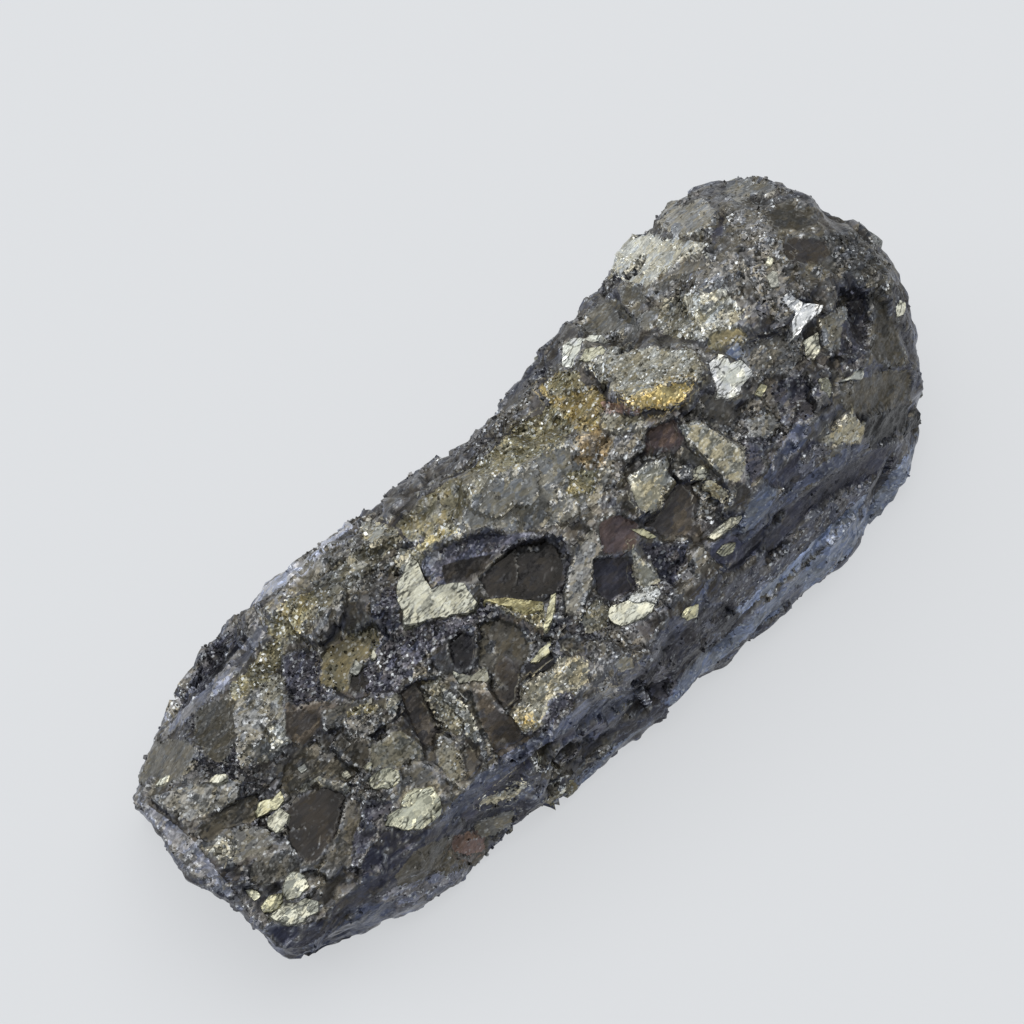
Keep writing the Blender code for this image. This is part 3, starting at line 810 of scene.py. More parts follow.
        (598, 684), (606, 677), (616, 690), (631, 702), (628, 711), (619, 712), (611, 702), (600, 694))),
    "crumb_strip_right": ("ridge", 0.06, 1.7, (
        (631, 683), (638, 680), (646, 690), (651, 701), (643, 704), (634, 693))),
    "crumb_tan": ("ash", 0.02, 0.55, ((598, 646), (603, 641), (607, 650), (602, 656))),
    "hollow_ink": ("ink_soft", None, 1.6, (
        (652, 673), (662, 664), (678, 684), (668, 702), (655, 699), (650, 688))),
    "shoulder_pale": ("grey", 0.04, 0.45, ((688, 562), (700, 545), (707, 558), (700, 568))),
    "shoulder_ink": ("ink", 0.0, 1.0, (
        (640, 545), (690, 540), (688, 560), (672, 585), (660, 575), (650, 560))),
    "chip_shade": ("slate_dark", -0.15, 1.6, (
        (712, 543), (734, 536), (746, 545), (736, 561), (722, 566), (710, 556))),
    # the foot of the wall, and the shelf at its near end
    "foot_sheen": ("slate_pale", None, 0.8, (
        (676, 706), (704, 684), (690, 710), (652, 744), (622, 770), (596, 788), (592, 776), (612, 756),
        (640, 730))),
    "near_streaks": ("slate", None, 1.1, (
        (440, 818), (480, 772), (524, 744), (572, 716), (600, 700), (640, 690), (600, 730), (560, 756),
        (520, 782), (478, 806), (452, 830))),
    "near_streaks_dark": ("slate_dark", -0.10, 1.5, (
        (462, 818), (486, 790), (520, 766), (556, 740), (600, 712), (604, 720), (560, 754), (520, 782),
        (490, 800), (470, 826))),
    "near_chip": ("dusk", 0.04, 0.9, ((534, 768), (545, 753), (561, 750), (558, 770), (545, 780))),
    "near_chip_dot": ("stone", 0.12, 4.4, ((535, 769), (541, 764), (545, 770), (539, 775))),
    # painted sheen along the foot of the near wall
    "near_foot": ("slate_pale", None, 0.7, (
        (560, 800), (600, 760), (650, 722), (660, 732), (612, 776), (572, 806))),
    "near_dark": ("slate_dark", None, 0.9, (
        (360, 866), (384, 832), (420, 828), (456, 828), (448, 846), (420, 862), (400, 882), (376, 892),
        (360, 884))),
    "shelf": ("dusk", None, 0.95, (
        (396, 878), (414, 852), (446, 838), (486, 830), (490, 852), (470, 870), (436, 884), (404, 896))),
    "shelf_rust": ("rust", 0.0, 1.2, ((454, 837), (482, 831), (486, 848), (466, 856), (454, 850))),
    "shelf_olive": ("ash", 0.0, 1.25, (
        (474, 826), (500, 814), (516, 812), (510, 828), (494, 836), (480, 838))),
    "shelf_edge": ("ridge", None, 1.35, (
        (380, 896), (420, 882), (462, 868), (470, 874), (430, 892), (400, 906), (384, 908))),
    "wall_thread": ("pale", 0.05, 1.45, (
        (480, 803), (500, 794), (520, 781), (528, 783), (516, 794), (496, 804), (482, 808))),
    "foot_chip": ("olive", 0.10, 0.8, (
        (544, 800), (558, 788), (574, 779), (579, 790), (568, 802), (548, 806))),
    "foot_spark": ("chalk", 0.12, 1.3, ((556, 789), (563, 784), (566, 789), (560, 794))),
    "near_low_wall": ("slate", None, 0.8, (
        (300, 950), (340, 925), (366, 904), (400, 900), (392, 914), (356, 934), (318, 958))),
}

# The bright crystals that stand in the mass: kind, lift in millimetres, turn towards the light in
# degrees, how light it is, outline.
# How light a crystal is also holds painted light: it is raised on crystals that face away from the light,
# such as far_wing.
CRYSTALS = {
    "notched": ("lit", 0.10, 0, 0.74, (
        (399, 586), (403, 572), (411, 560), (418, 562), (418, 576), (426, 580), (432, 590), (438, 586),
        (452, 583), (465, 583), (469, 592), (475, 602), (474, 609), (462, 613), (440, 617), (420, 622),
        (405, 624), (402, 612), (398, 600))),
    "shield": ("lit", 0.14, 0, 0.95, (
        (608, 612), (613, 606), (622, 603), (634, 598), (646, 597), (656, 602), (652, 612), (640, 618),
        (630, 624), (620, 627), (612, 621))),
    "shield_rough": ("granular", 0.12, 0, 1.25, (
        (628, 600), (636, 592), (646, 587), (659, 585), (662, 592), (657, 604), (646, 600), (636, 602))),
    "star": ("bright", 0.16, 12, 1.35, (
        (708, 363), (720, 355), (727, 357), (730, 364), (740, 361), (752, 371), (748, 378), (741, 386),
        (740, 394), (730, 399), (718, 396), (716, 384), (709, 372))),
    "far_wing": ("bright", 0.14, 14, 2.0, (
        (782, 300), (789, 290), (795, 298), (806, 303), (824, 305), (820, 312), (808, 320), (800, 334),
        (793, 339), (792, 325), (795, 312), (786, 308))),
    "far_wing_low": ("bright", 0.10, 14, 0.74, ((803, 343), (818, 332), (820, 348), (814, 358), (806, 355))),
    "rear_hook": ("bright", 0.7, 10, 1.15, (
        (562, 367), (563, 345), (575, 337), (601, 335), (597, 341), (585, 344), (581, 355), (573, 367))),
    "rear_hook_low": ("faint", 0.6, 8, 0.75, ((586, 348), (602, 346), (606, 352), (592, 361), (579, 360))),
    "spark_yellow": ("yellow", 0.16, 0, 0.66, (
        (255, 812), (262, 802), (272, 800), (280, 791), (284, 800), (278, 810), (270, 812), (258, 817))),
    "spark_white": ("lit", 0.14, 0, 0.85, (
        (268, 816), (280, 808), (288, 815), (284, 828), (276, 833), (268, 826))),
    "nut_top": ("lit", 0.20, 0, 1.32, (
        (283, 885), (292, 872), (302, 873), (308, 886), (300, 896), (288, 899), (282, 892))),
    "nut_left": ("yellow", 0.10, 0, 0.75, (
        (261, 906), (268, 897), (282, 893), (284, 902), (272, 912), (264, 913))),
    "nut_low": ("lit", 0.16, 0, 0.88, (
        (271, 916), (284, 904), (298, 902), (306, 897), (318, 902), (316, 912), (304, 920), (290, 923),
        (278, 920))),
    "nut_chip": ("faint", 0.08, 0, 1.15, ((245, 890), (252, 888), (260, 896), (254, 900))),
    "disc": ("faint", 0.12, 0, 1.25, (
        (385, 826), (388, 816), (402, 808), (404, 799), (415, 790), (432, 788), (441, 798), (441, 814),
        (428, 826), (411, 829))),
    "bean": ("faint", 0.10, 0, 0.78, (
        (369, 778), (384, 768), (398, 770), (400, 782), (388, 789), (371, 788))),
    "bead": ("faint", 0.10, 0, 0.47, ((364, 765), (369, 761), (374, 764), (371, 770), (365, 770))),
    "blade": ("gold", 0.08, 0, 0.92, (
        (486, 600), (505, 597), (525, 600), (544, 602), (543, 610), (530, 611), (515, 608), (500, 604))),
    "sliver": ("yellow", 0.14, 0, 0.68, (
        (551, 595), (556, 592), (556, 604), (552, 618), (546, 631), (543, 628), (547, 612))),
    "tooth": ("yellow", 0.10, 0, 0.58, ((531, 661), (541, 649), (551, 640), (548, 652), (539, 662))),
    "pit_lip": ("lit", 0.05, 0, 0.45, (
        (452, 671), (460, 676), (476, 675), (484, 667), (489, 678), (486, 682), (474, 681), (460, 683))),
    "wall_chip": ("bright", 0.12, 16, 0.65, ((842, 381), (855, 373), (864, 367), (863, 379))),
    "edge_chip": ("bright", 0.14, 16, 1.15, ((895, 308), (900, 300), (906, 303), (904, 314), (898, 317))),
    "right_flake": ("faint", 0.10, 0, 0.5, ((821, 378), (827, 376), (833, 386), (830, 396), (824, 390))),
    "star_leaf": ("yellow", 0.08, 0, 1.02, ((756, 394), (761, 384), (768, 386), (762, 397))),
    "squiggle": ("bright", 0.08, 14, 0.44, (
        (708, 537), (720, 526), (731, 517), (744, 515), (739, 523), (726, 531), (716, 539))),
    "squiggle_low": ("faint", 0.06, 0, 0.95, ((717, 553), (724, 546), (736, 543), (733, 552), (722, 557))),
    "needle": ("yellow", 0.06, 0, 1.2, ((633, 530), (645, 530), (657, 537), (648, 539))),
    "low_chip": ("yellow", 0.10, 0, 0.7, ((684, 618), (690, 609), (698, 605), (697, 617), (688, 621))),
    "round_grain": ("bright", 0.12, 0, 0.66, (
        (693, 474), (696, 468), (702, 467), (706, 473), (702, 479), (696, 479))),
    "fleck": ("bright", 0.12, 0, 0.76, ((765, 262), (768, 256), (773, 259), (771, 265))),
    "fleck_low": ("bright", 0.10, 0, 0.41, ((767, 276), (773, 270), (778, 272), (779, 286), (771, 287))),
    "left_fleck": ("bright", 0.10, 0, 0.62, ((210, 781), (216, 774), (226, 774), (226, 779), (217, 783))),
    "left_fleck_low": ("bright", 0.10, 0, 0.82, ((156, 785), (161, 778), (168, 775), (164, 783))),
    "olive_fleck": ("bright", 0.08, 0, 0.3, ((351, 672), (356, 660), (362, 666), (356, 674))),
    "olive_spark": ("bright", 0.08, 0, 0.46, ((371, 657), (373, 650), (377, 655), (375, 660))),
    "granule_a": ("bright", 0.06, 0, 0.5, ((297, 768), (304, 764), (308, 769), (302, 773))),
    "granule_b": ("bright", 0.06, 0, 0.34, ((343, 775), (347, 771), (350, 776), (346, 779))),
}

# How each kind of crystal looks: colours to draw from, speckle and cracks, each 0 to 1.
KINDS = {
    "bright": (("pale_gold", "silver"), 0.18, 0.9),
    "lit": (("lit_gold",), 0.18, 0.65),
    "faint": (("dull_gold",), 0.30, 0.85),
    "yellow": (("straw",), 0.20, 0.5),
    "gold": (("gold",), 0.16, 0.5),
    "granular": (("ore_pale",), 0.75, 0.6),
    "grey": (("grey_face", "ore_pale"), 0.34, 0.5),
}
# How often each kind is drawn where crystals are placed by chance. A smooth one is a pane of the mass.
CHANCE_KINDS = (("lit", 0.20), ("grey", 0.28), ("granular", 0.14), ("faint", 0.06), ("smooth", 0.32))


# ---------------------------------------------------------------- shaping and tinting the mass


def facing(points, normals):
    """The cosine between each normal and the way to the camera."""
    to_eye = EYE - points
    to_eye /= np.linalg.norm(to_eye, axis=1, keepdims=True)
    return (normals * to_eye).sum(axis=1)


def seen_from_camera(points, normals):
    """1 where the surface faces the camera, falling to 0 where it turns away."""
    return smoothstep(0.02, 0.14, facing(points, normals))


def turned_away(points, normals):
    """1 where the surface faces well away from the camera, falling to 0 at its outline."""
    return smoothstep(0.10, 0.45, -facing(points, normals))


def raised(points, normals, heights):
    """Points moved along their normals by their heights."""
    return points + normals * heights[:, None]


RELIEF_WOBBLE = 3.0     # view pixels that noise bends the edges of the raised and sunken areas by


def relief_moves(points, normals):
    """The sum of every raised or sunken area's height, each faded over its own soft edge."""
    places = to_view(points)
    seen = seen_from_camera(points, normals)
    wobble = RELIEF_WOBBLE * np.stack([noise(points, width=0.7, seed=k) for k in (31, 32)], axis=1)
    moves = np.zeros(len(points))
    for height, soft, outline in RELIEF.values():
        depth = distance_inside(places + wobble, outline)
        moves += height * smoothstep(-soft, soft, depth) * seen
    return moves


def outline_moves(points, normals):
    """Pushes that move the lump's outline.

    Each fades as a bell curve of the distance from its middle, and of how far the surface is from
    edge-on to the camera.
    """
    places = to_view(points)
    beside = np.exp(-(facing(points, normals) / 0.5) ** 2)
    moves = np.zeros(len(points))
    for middle, reach, height in OUTLINE_MOVES.values():
        away = np.linalg.norm(places - np.array(middle), axis=1) / reach
        moves += height * np.exp(-(away**2)) * beside
    return moves


EDGE_BAND = 5.0         # how far round a face's outline, in view pixels, its sharp border is worked out
TURNED_SHRINK = 15.0    # view pixels that a face draws back where the surface turns from the camera
FLATTENED = 0.92        # how much of the way to its plane a face is moved
FEWEST_POINTS = 6       # a face over fewer points than this keeps their shape


def face_depths(points, normals):
    """How deep each point lies inside each face, in view pixels; negative just outside.

    The outlines are ragged by noise, and more so on a granular finish. For each face this gives the
    points inside or near it, and their depths.
    """
    places, seen = to_view(points), seen_from_camera(points, normals)
    wobble = np.stack([layered(points, width=0.5, layers=3, seed=k) for k in (81, 84)], axis=1)
    depths = []
    for finish, _, _, outline in FACES.values():
        swing = 0.8 + 2.2 * FINISHES[finish][1]
        depth = distance_inside(places + wobble * swing, outline)
        depth -= np.where(seen > 0, TURNED_SHRINK * (1 - seen), FAR_OUTSIDE)
        near = np.flatnonzero(depth > -EDGE_BAND)
        depths.append((near, depth[near]))
    return depths


def flatten_faces(points, normals, depths):
    """Moves each face with a lift towards its own mean plane, raised or sunk by that lift.

    The move fades out just past the outline, and for points about a millimetre from the plane.
    """
    points = points.copy()
    for (_, lift, _, _), (near, depth) in zip(FACES.values(), depths):
        core = near[depth > 0]
        if lift is None or len(core) < FEWEST_POINTS:
            continue
        normal = normals[core].mean(axis=0)
        normal /= np.linalg.norm(normal)
        centre = points[core].mean(axis=0) + normal * lift
        away = (centre - points[near]) @ normal
        share = FLATTENED * smoothstep(-1.5, 1.0, depth) * smoothstep(1.1, 0.6, np.abs(away))
        points[near] += np.outer(share * away, normal)
    return points


def paint_faces(tint, speck, depths):
    """Lays each face's finish over what is there, and keeps both sides of its outline.

    Returns the upper and lower finish at each point, colour and speckle together, and how far the
    point lies inside the last outline near it: 0.5 on the line, 1 and 0 a band's width from it. The
    material cuts from one finish to the other at 0.5, so the cut is finer than the mesh.
    """
    over = np.column_stack((tint, speck))
    under, edge = over.copy(), np.ones(len(tint))
    for (finish, _, tone, _), (near, depth) in zip(FACES.values(), depths):
        colour, rough = FINISHES[finish]
        settled = np.where(edge[near, None] > 0.5, over[near], under[near])
        under[near] = settled
        over[near] = (*(channel * tone for channel in linear(*colour)), rough)
        edge[near] = np.clip(0.5 + depth / (2 * EDGE_BAND), 0, 1)
        deep = near[depth > EDGE_BAND]
        under[deep] = over[deep]
    return over, under, edge


def wall_share(points, normals):
    """How far the surface is smooth, streaked wall.

    It is 1 on the steep sides that the camera sees, 0 on the top, and little on the sides turned
    away, which are broken and granular.
    """
    steep = 1 - smoothstep(0.25, 0.62, normals[:, 2])
    return steep * (1 - 0.85 * turned_away(points, normals))


def striations(points):
    """Long low ridges along the walls: noise drawn out to eight times its width along X."""
    return layered(points * (0.12, 1, 1), width=0.85, layers=3, seed=71)


TOP_GIVE = 0.2      # millimetres below the solid's top from which points are pressed down
TOP_ROOM = 0.5      # and the most that they can then still rise


def press_level(points):
    """Cuts everything off at the rest face, and presses what stands above the solid softly down."""
    points[:, 2] = np.maximum(points[:, 2], 0.0)
    over = np.clip(points[:, 2] - SIZE[2] + TOP_GIVE, 0, None)
    points[:, 2] += TOP_ROOM * np.tanh(over / TOP_ROOM) - over
    return points


# All in millimetres. Facets cut inwards, so the surface stands a little further out to begin with.
COARSE_OUT = 0.12
COMMON_OUT = 0.08
GRAIN_HEIGHT = 0.012    # of the finest noise all over
RIDGE_HEIGHT = 0.14     # of the ridges along the walls


def shape_mass(points, normals):
    """Adds relief, facets, faces, wall ridges and grain. Also returns facet draws and face depths.

    Coarse breaks come only where the camera doesn't look, and fade out above the rest face. The
    common ones are calmer on the walls, and where the surface is nearly edge-on to the camera.
    """
    settings = bpy.context.scene.pyrite
    break_size, facet_size = settings.break_size / MM, settings.facet_size / MM
    wall, away = wall_share(points, normals), turned_away(points, normals)
    points = raised(points, normals, relief_moves(points, normals) + outline_moves(points, normals))
    coarse, _ = break_flat(points, normals, 2 * break_size, **BREAKS["coarse"])
    above_foot = smoothstep(0.3, 2.0, points[:, 2])
    points = raised(points, normals, (coarse + COARSE_OUT) * away * above_foot)
    common, common_cell = break_flat(points, normals, break_size, **BREAKS["common"])
    calm = 1 - 0.5 * np.exp(-((facing(points, normals) - 0.1) / 0.25) ** 2)
    points = raised(points, normals, (common + COMMON_OUT) * (1 - 0.45 * wall) * calm)
    small, small_cell = break_flat(points, normals, facet_size, **BREAKS["small"])
    points = raised(points, normals, small * (1 - 0.5 * wall))
    depths = face_depths(points, normals)
    points = flatten_faces(points, normals, depths)
    grain = layered(points, width=0.42, layers=2, seed=41) * GRAIN_HEIGHT
    fine = grain + striations(points) * RIDGE_HEIGHT * wall
    points = press_level(raised(points, normals, fine))
    return points, facet_draws(common_cell, seed=6), facet_draws(small_cell, seed=18), depths


def mix(a, b, amount):
    """Rows of a, each moved towards b by its own amount."""
    return a + (np.asarray(b) - a) * np.asarray(amount)[:, None]


TINGE = (1.0, 0.975, 1.01)      # the whole mass leans a trace towards violet
SMOOTH_SHARE = 0.35             # how many of the common facets are smooth and dark
SMOOTH_SPECK = 0.12


def ground(points, wall, common_draw, pane):
    """Tint and speckle of the mass before its faces are painted: coats of colour, one over another."""
    ridge = striations(points)
    smooth = (common_draw < SMOOTH_SHARE) & (wall < 0.6)
    plain = smoothstep(-0.5, 0.6, layered(points, width=3.2, layers=3, seed=51))
    mossy = smoothstep(-0.2, 0.6, layered(points, width=4.0, layers=2, seed=61))
    rough = smoothstep(-0.1, 0.5, layered(points, width=2.4, layers=2, seed=65))
    coats = (
        ("ore", plain),
        ("olive", 0.6 * (mossy * (1 - wall))),
        ("smoke", 0.7 * smooth),
        # painted light on the walls: the slate coats are the floor's reflection on the steep sides that the
        # camera sees, darker as painted shade in the grooves and paler as painted sheen on the ridges
        ("slate", 0.9 * wall),
        ("slate_dark", 0.85 * wall * smoothstep(-0.05, 0.45, -ridge)),
        ("slate_pale", 0.7 * wall * smoothstep(0.25, 0.65, ridge)),
        ("smoke", 0.9 * pane),
    )
    tint = np.tile(COLOURS["ore_dark"], (len(points), 1))
    for colour, amount in coats:
        tint = mix(tint, COLOURS[colour], amount)
    speck = np.where(smooth, SMOOTH_SPECK, 0.25 + 0.6 * rough)
    return tint, speck * (1 - 0.6 * wall) * (1 - 0.9 * pane)


def tint_mass(points, normals, rows, common_draw, small_draw, depths, pane):
    """Both finishes of the mass at each point.

    The ground and the faces are made lighter or darker facet by facet, darker in hollows by painted
    shade, and paler and more granular along sharp crests by a painted highlight.
    """
    wall = wall_share(points, normals)
    over, under, edge = paint_faces(*ground(points, wall, common_draw, pane), depths)
    rise = bulge(points, normals, rows, reach=1) + bulge(points, normals, rows, reach=2) / 2
    crest = smoothstep(0.010, 0.035, rise)
    hollow_shade = smoothstep(0.02, 0.20, -bulge(points, normals, rows, reach=7))
    patches = 1 + 0.14 * layered(points, width=0.8, layers=2, seed=57)
    tone = 1.04 * ((0.88 + 0.24 * small_draw) * (0.90 + 0.20 * common_draw) * patches)
    # painted shade: darker in the hollows
    tone = tone * (1 - 0.42 * hollow_shade)
    for finish in (over, under):
        # painted highlight: paler and more granular along sharp crests, but not on the walls
        highlit = mix(finish[:, :3] * tone[:, None], COLOURS["ore_pale"], 0.34 * crest * (1 - wall))
        finish[:, :3] = np.clip(highlit * TINGE, 0, 0.9)
        finish[:, 3] = np.clip(finish[:, 3] + 0.35 * crest, 0, 1)
    return over, under, edge


# ---------------------------------------------------------------- crystals

EDGE_SPACING = 0.09     # millimetres between the points round a crystal's edge
RING_SPACING = 0.13     # and between the rings that fill its top
FEWEST_CORNERS = 10
FEWEST_RINGS = 4
EDGE_RAGGED = 0.09      # how far noise moves the edge in and out
TOP_UNEVEN = 0.025      # and the top up and down
CRYSTAL_DEPTH = 1.2
# The bevel and the wall below it: how far out from the edge and how far down, in millimetres.
CRYSTAL_WALL = ((0.025, 0.03), (0.06, 0.16), (0.10, 0.45), (0.14, CRYSTAL_DEPTH))


def resample(outline, spacing):
    """A closed outline's points, evenly spaced along its sides."""
    closed = np.vstack((outline, outline[:1]))
    lengths = np.linalg.norm(np.diff(closed, axis=0), axis=1)
    reach = np.concatenate(([0], np.cumsum(lengths)))
    count = max(FEWEST_CORNERS, int(reach[-1] / spacing))
    at = np.linspace(0, reach[-1], count, endpoint=False)
    return np.stack([np.interp(at, reach, closed[:, k]) for k in range(2)], axis=1)


def plane_axes(normal):
    """Two unit directions lying in a plane, the first as near to X as it can be."""
    along = np.array((1.0, 0, 0)) - normal[0] * normal
    along /= np.linalg.norm(along)
    return along, np.cross(normal, along)


def crystal_surface(centre, normal, outline, seed):
    """One crystal: its outline, in its own plane, carried from its middle out, over and down.

    Row by row the outline is scaled from the middle to its edge, then steps out and down over the
    bevel and the wall to its foot. The outline is a little ragged and the top a little uneven, by
    noise. Also returns its quads, its triangles at the middle and the foot, and how near the rim
    each point lies, from 0 to 1.
    """
    along, across = plane_axes(normal)

    def placed(flat, height):
        return centre + flat[:, :1] * along + flat[:, 1:] * across + height * normal

    edge = resample(outline, EDGE_SPACING)
    ragged = EDGE_RAGGED * layered(placed(edge, 0.0), width=0.45, layers=3, seed=seed)
    middle = edge.mean(axis=0)
    spoke = edge - middle
    length = np.linalg.norm(spoke, axis=1, keepdims=True)
    spoke = spoke / np.maximum(length, 1e-6)
    edge = edge + spoke * ragged[:, None]
    rings = max(FEWEST_RINGS, int(length.max() / RING_SPACING))
    share = np.linspace(0, 1, rings + 1)[1:]
    flat = [(middle + (edge - middle) * s, 0.0) for s in share]
    wall = [(edge + spoke * out, -down) for out, down in CRYSTAL_WALL]
    points = np.concatenate([placed(*row) for row in flat + wall])
    top = len(flat) * len(edge)
    rise = TOP_UNEVEN * layered(points[:top], width=0.5, layers=2, seed=7)
    points[:top] += (rise * np.repeat(1 - share**4, len(edge)))[:, None] * normal
    rim = np.repeat(np.concatenate((share, np.ones(len(wall)))), len(edge))
    ends = [placed(middle[None], height)[0] for height in (0, -CRYSTAL_DEPTH)]
    points = np.vstack((points, ends))
    columns, count = len(edge), len(flat) + len(wall)
    quads = grid_quads(count, columns, wrap=True)[:, ::-1]
    i = np.arange(columns)
    j = (i + 1) % columns
    first, last, foot = len(points) - 2, (count - 1) * columns, len(points) - 1
    cap = np.stack((np.full(columns, first), i, j), axis=1)
    sole = np.stack((np.full(columns, foot), last + j, last + i), axis=1)
    return points, quads, np.vstack((cap, sole)), np.append(rim, (0.0, 1.0))


def outline_on_plane(places, centre, normal):
    """View places cast along the camera's rays onto a plane, in that plane's own two axes."""
    along, across = plane_axes(normal)
    rays = view_rays(places)
    t = ((centre - EYE) @ normal) / (rays @ normal)
    away = EYE + rays * t[:, None] - centre
    return np.stack((away @ along, away @ across), axis=1)


OVERHEAD_LIGHT = (0.10, 0.12, 0.50)     # where the main light stands, in metres
GLINT = BACK + np.array(OVERHEAD_LIGHT) / math.hypot(*OVERHEAD_LIGHT)
GLINT /= np.linalg.norm(GLINT)          # a face square to this mirrors that light to the camera


def turned_to(normal, goal, most_deg):
    """A normal turned towards a goal by at most so many degrees, along the arc between them."""
    apart = math.acos(np.clip(normal @ goal, -1, 1))
    share = min(1.0, math.radians(most_deg) / max(apart, 1e-6))
    turned = normal * math.sin((1 - share) * apart) + goal * math.sin(share * apart)
    return turned / np.linalg.norm(turned)


def named_crystals(points, normals):
    """Places each named crystal: on the mean plane of the mass inside its outline, leant and lifted."""
    places, seen = to_view(points), seen_from_camera(points, normals)
    crystals = []
    for name, (kind, lift, turn, tone, outline) in CRYSTALS.items():
        inside = (distance_inside(places, outline) > -1) & (seen > 0.5)
        if not inside.any():
            raise RuntimeError(f"crystal {name} lies off the lump")
        normal = normals[inside].mean(axis=0)
        normal = turned_to(normal / np.linalg.norm(normal), GLINT, turn)
        centre = points[inside].mean(axis=0) + normal * lift
        crystals.append((kind, centre, normal, outline_on_plane(outline, centre, normal), tone))
    return crystals


LOWEST_CRYSTAL = 1.2    # millimetres above the rest face


def chance_crystals(points, normals, taken, count):
    """Crystals placed by chance, clear of each other and of all that the camera sees, and in clusters.

    Each outline is a ring of four to six corners at uneven angles and distances, drawn out along X
    and leant by chance from the mean of the mass under it.
    """
    rng = np.random.default_rng(seed=29)
    face = facing(points, normals)
    shown = points[face > -0.1][::15]       # every 15th point is enough to keep clear of
    kinds = [k for k, _ in CHANCE_KINDS]
    odds = np.array([w for _, w in CHANCE_KINDS])
    crystals = []
    while len(crystals) < count:
        pick = rng.integers(len(points))
        centre, normal = points[pick], normals[pick]
        radius = 0.3 + 1.3 * rng.random() ** 2
        _, height, light = rng.random(3)
        corners = rng.integers(4, 7)
        angles = np.sort(rng.uniform(0, 1, corners) * 0.7 + np.arange(corners)) / corners * 2 * math.pi
        reach = radius * rng.uniform(0.65, 1.1, corners)
        outline = np.stack((np.cos(angles) * reach * 1.25, np.sin(angles) * reach * 0.8), axis=1)
        lean = rng.normal(size=3) * 0.16
        kind = kinds[int(rng.choice(len(kinds), p=odds / odds.sum()))]
        near = any(np.linalg.norm(centre - c) < radius + r for c, r in taken)
        bare = noise(centre[None], width=7.0, seed=95)[0] < -0.1
        if face[pick] > -0.3 or near or bare or centre[2] < LOWEST_CRYSTAL:
            continue
        if np.linalg.norm(shown - centre, axis=1).min() < radius + 0.3:
            continue
        patch = np.linalg.norm(points - centre, axis=1) < radius
        normal = normals[patch].mean(axis=0) + lean
        normal /= np.linalg.norm(normal)
        lift = 0.02 if kind == "smooth" else 0.06 + 0.12 * height
        tone = 0.55 + 0.55 * light
        crystals.append((kind, points[patch].mean(axis=0) + normal * lift, normal, outline, tone))
        taken.append((centre, radius))
    return crystals


BED_DEPTH = 0.12        # how far below a crystal's face the mass under it is kept


def bed_crystals(points, normals, crystals):
    """Presses the mass a little below each crystal's face, and flattens it to each smooth pane.

    Returns which points lie under a crystal, and how far each belongs to a pane.
    """
    covered = np.zeros(len(points), bool)
    pane = np.zeros(len(points))
    for kind, centre, normal, outline, _ in crystals:
        away = points - centre
        reach = np.abs(outline).max() * 1.5 + 0.3
        near = np.flatnonzero((np.linalg.norm(away, axis=1) < reach) & (normals @ normal > 0.1))
        along, across = plane_axes(normal)
        flat = np.stack((away[near] @ along, away[near] @ across), axis=1)
        inside = smoothstep(-0.08, 0.05, distance_inside(flat, outline))
        if kind == "smooth":
            points[near] -= normal * (away[near] @ normal * inside)[:, None]
            pane[near] = np.maximum(pane[near], inside)
            continue
        above = np.clip(away[near] @ normal + BED_DEPTH, 0, None) * inside
        points[near] -= normal * above[:, None]
        covered[near] |= inside > 0.5
    return covered, pane


# ---------------------------------------------------------------- grains

GRAIN_CORNERS = np.array([(x, y, z) for z in (-1, 1) for x, y in ((-1, -1), (1, -1), (1, 1), (-1, 1))])
GRAIN_FACES = np.array(((0, 3, 2, 1), (4, 5, 6, 7), (0, 1, 5, 4), (1, 2, 6, 5), (2, 3, 7, 6), (3, 0, 4, 7)))


def turned_axes(rng, count):
    """Random rotations, one 3 x 3 matrix each, from unit quaternions."""
    q = rng.normal(size=(count, 4))
    q /= np.linalg.norm(q, axis=1, keepdims=True)
    w, x, y, z = q.T
    return np.stack((
        np.stack((1 - 2 * (y * y + z * z), 2 * (x * y - z * w), 2 * (x * z + y * w)), axis=1),
        np.stack((2 * (x * y + z * w), 1 - 2 * (x * x + z * z), 2 * (y * z - x * w)), axis=1),
        np.stack((2 * (x * z - y * w), 2 * (y * z + x * w), 1 - 2 * (x * x + y * y)), axis=1),
    ), axis=1)


LOWEST_GRAIN = 0.3      # millimetres above the rest face
GLINT_GRAINS = 0.15    # the share of grains that take the painted glint colour, and of those that are dark
DARK_GRAINS = 0.30


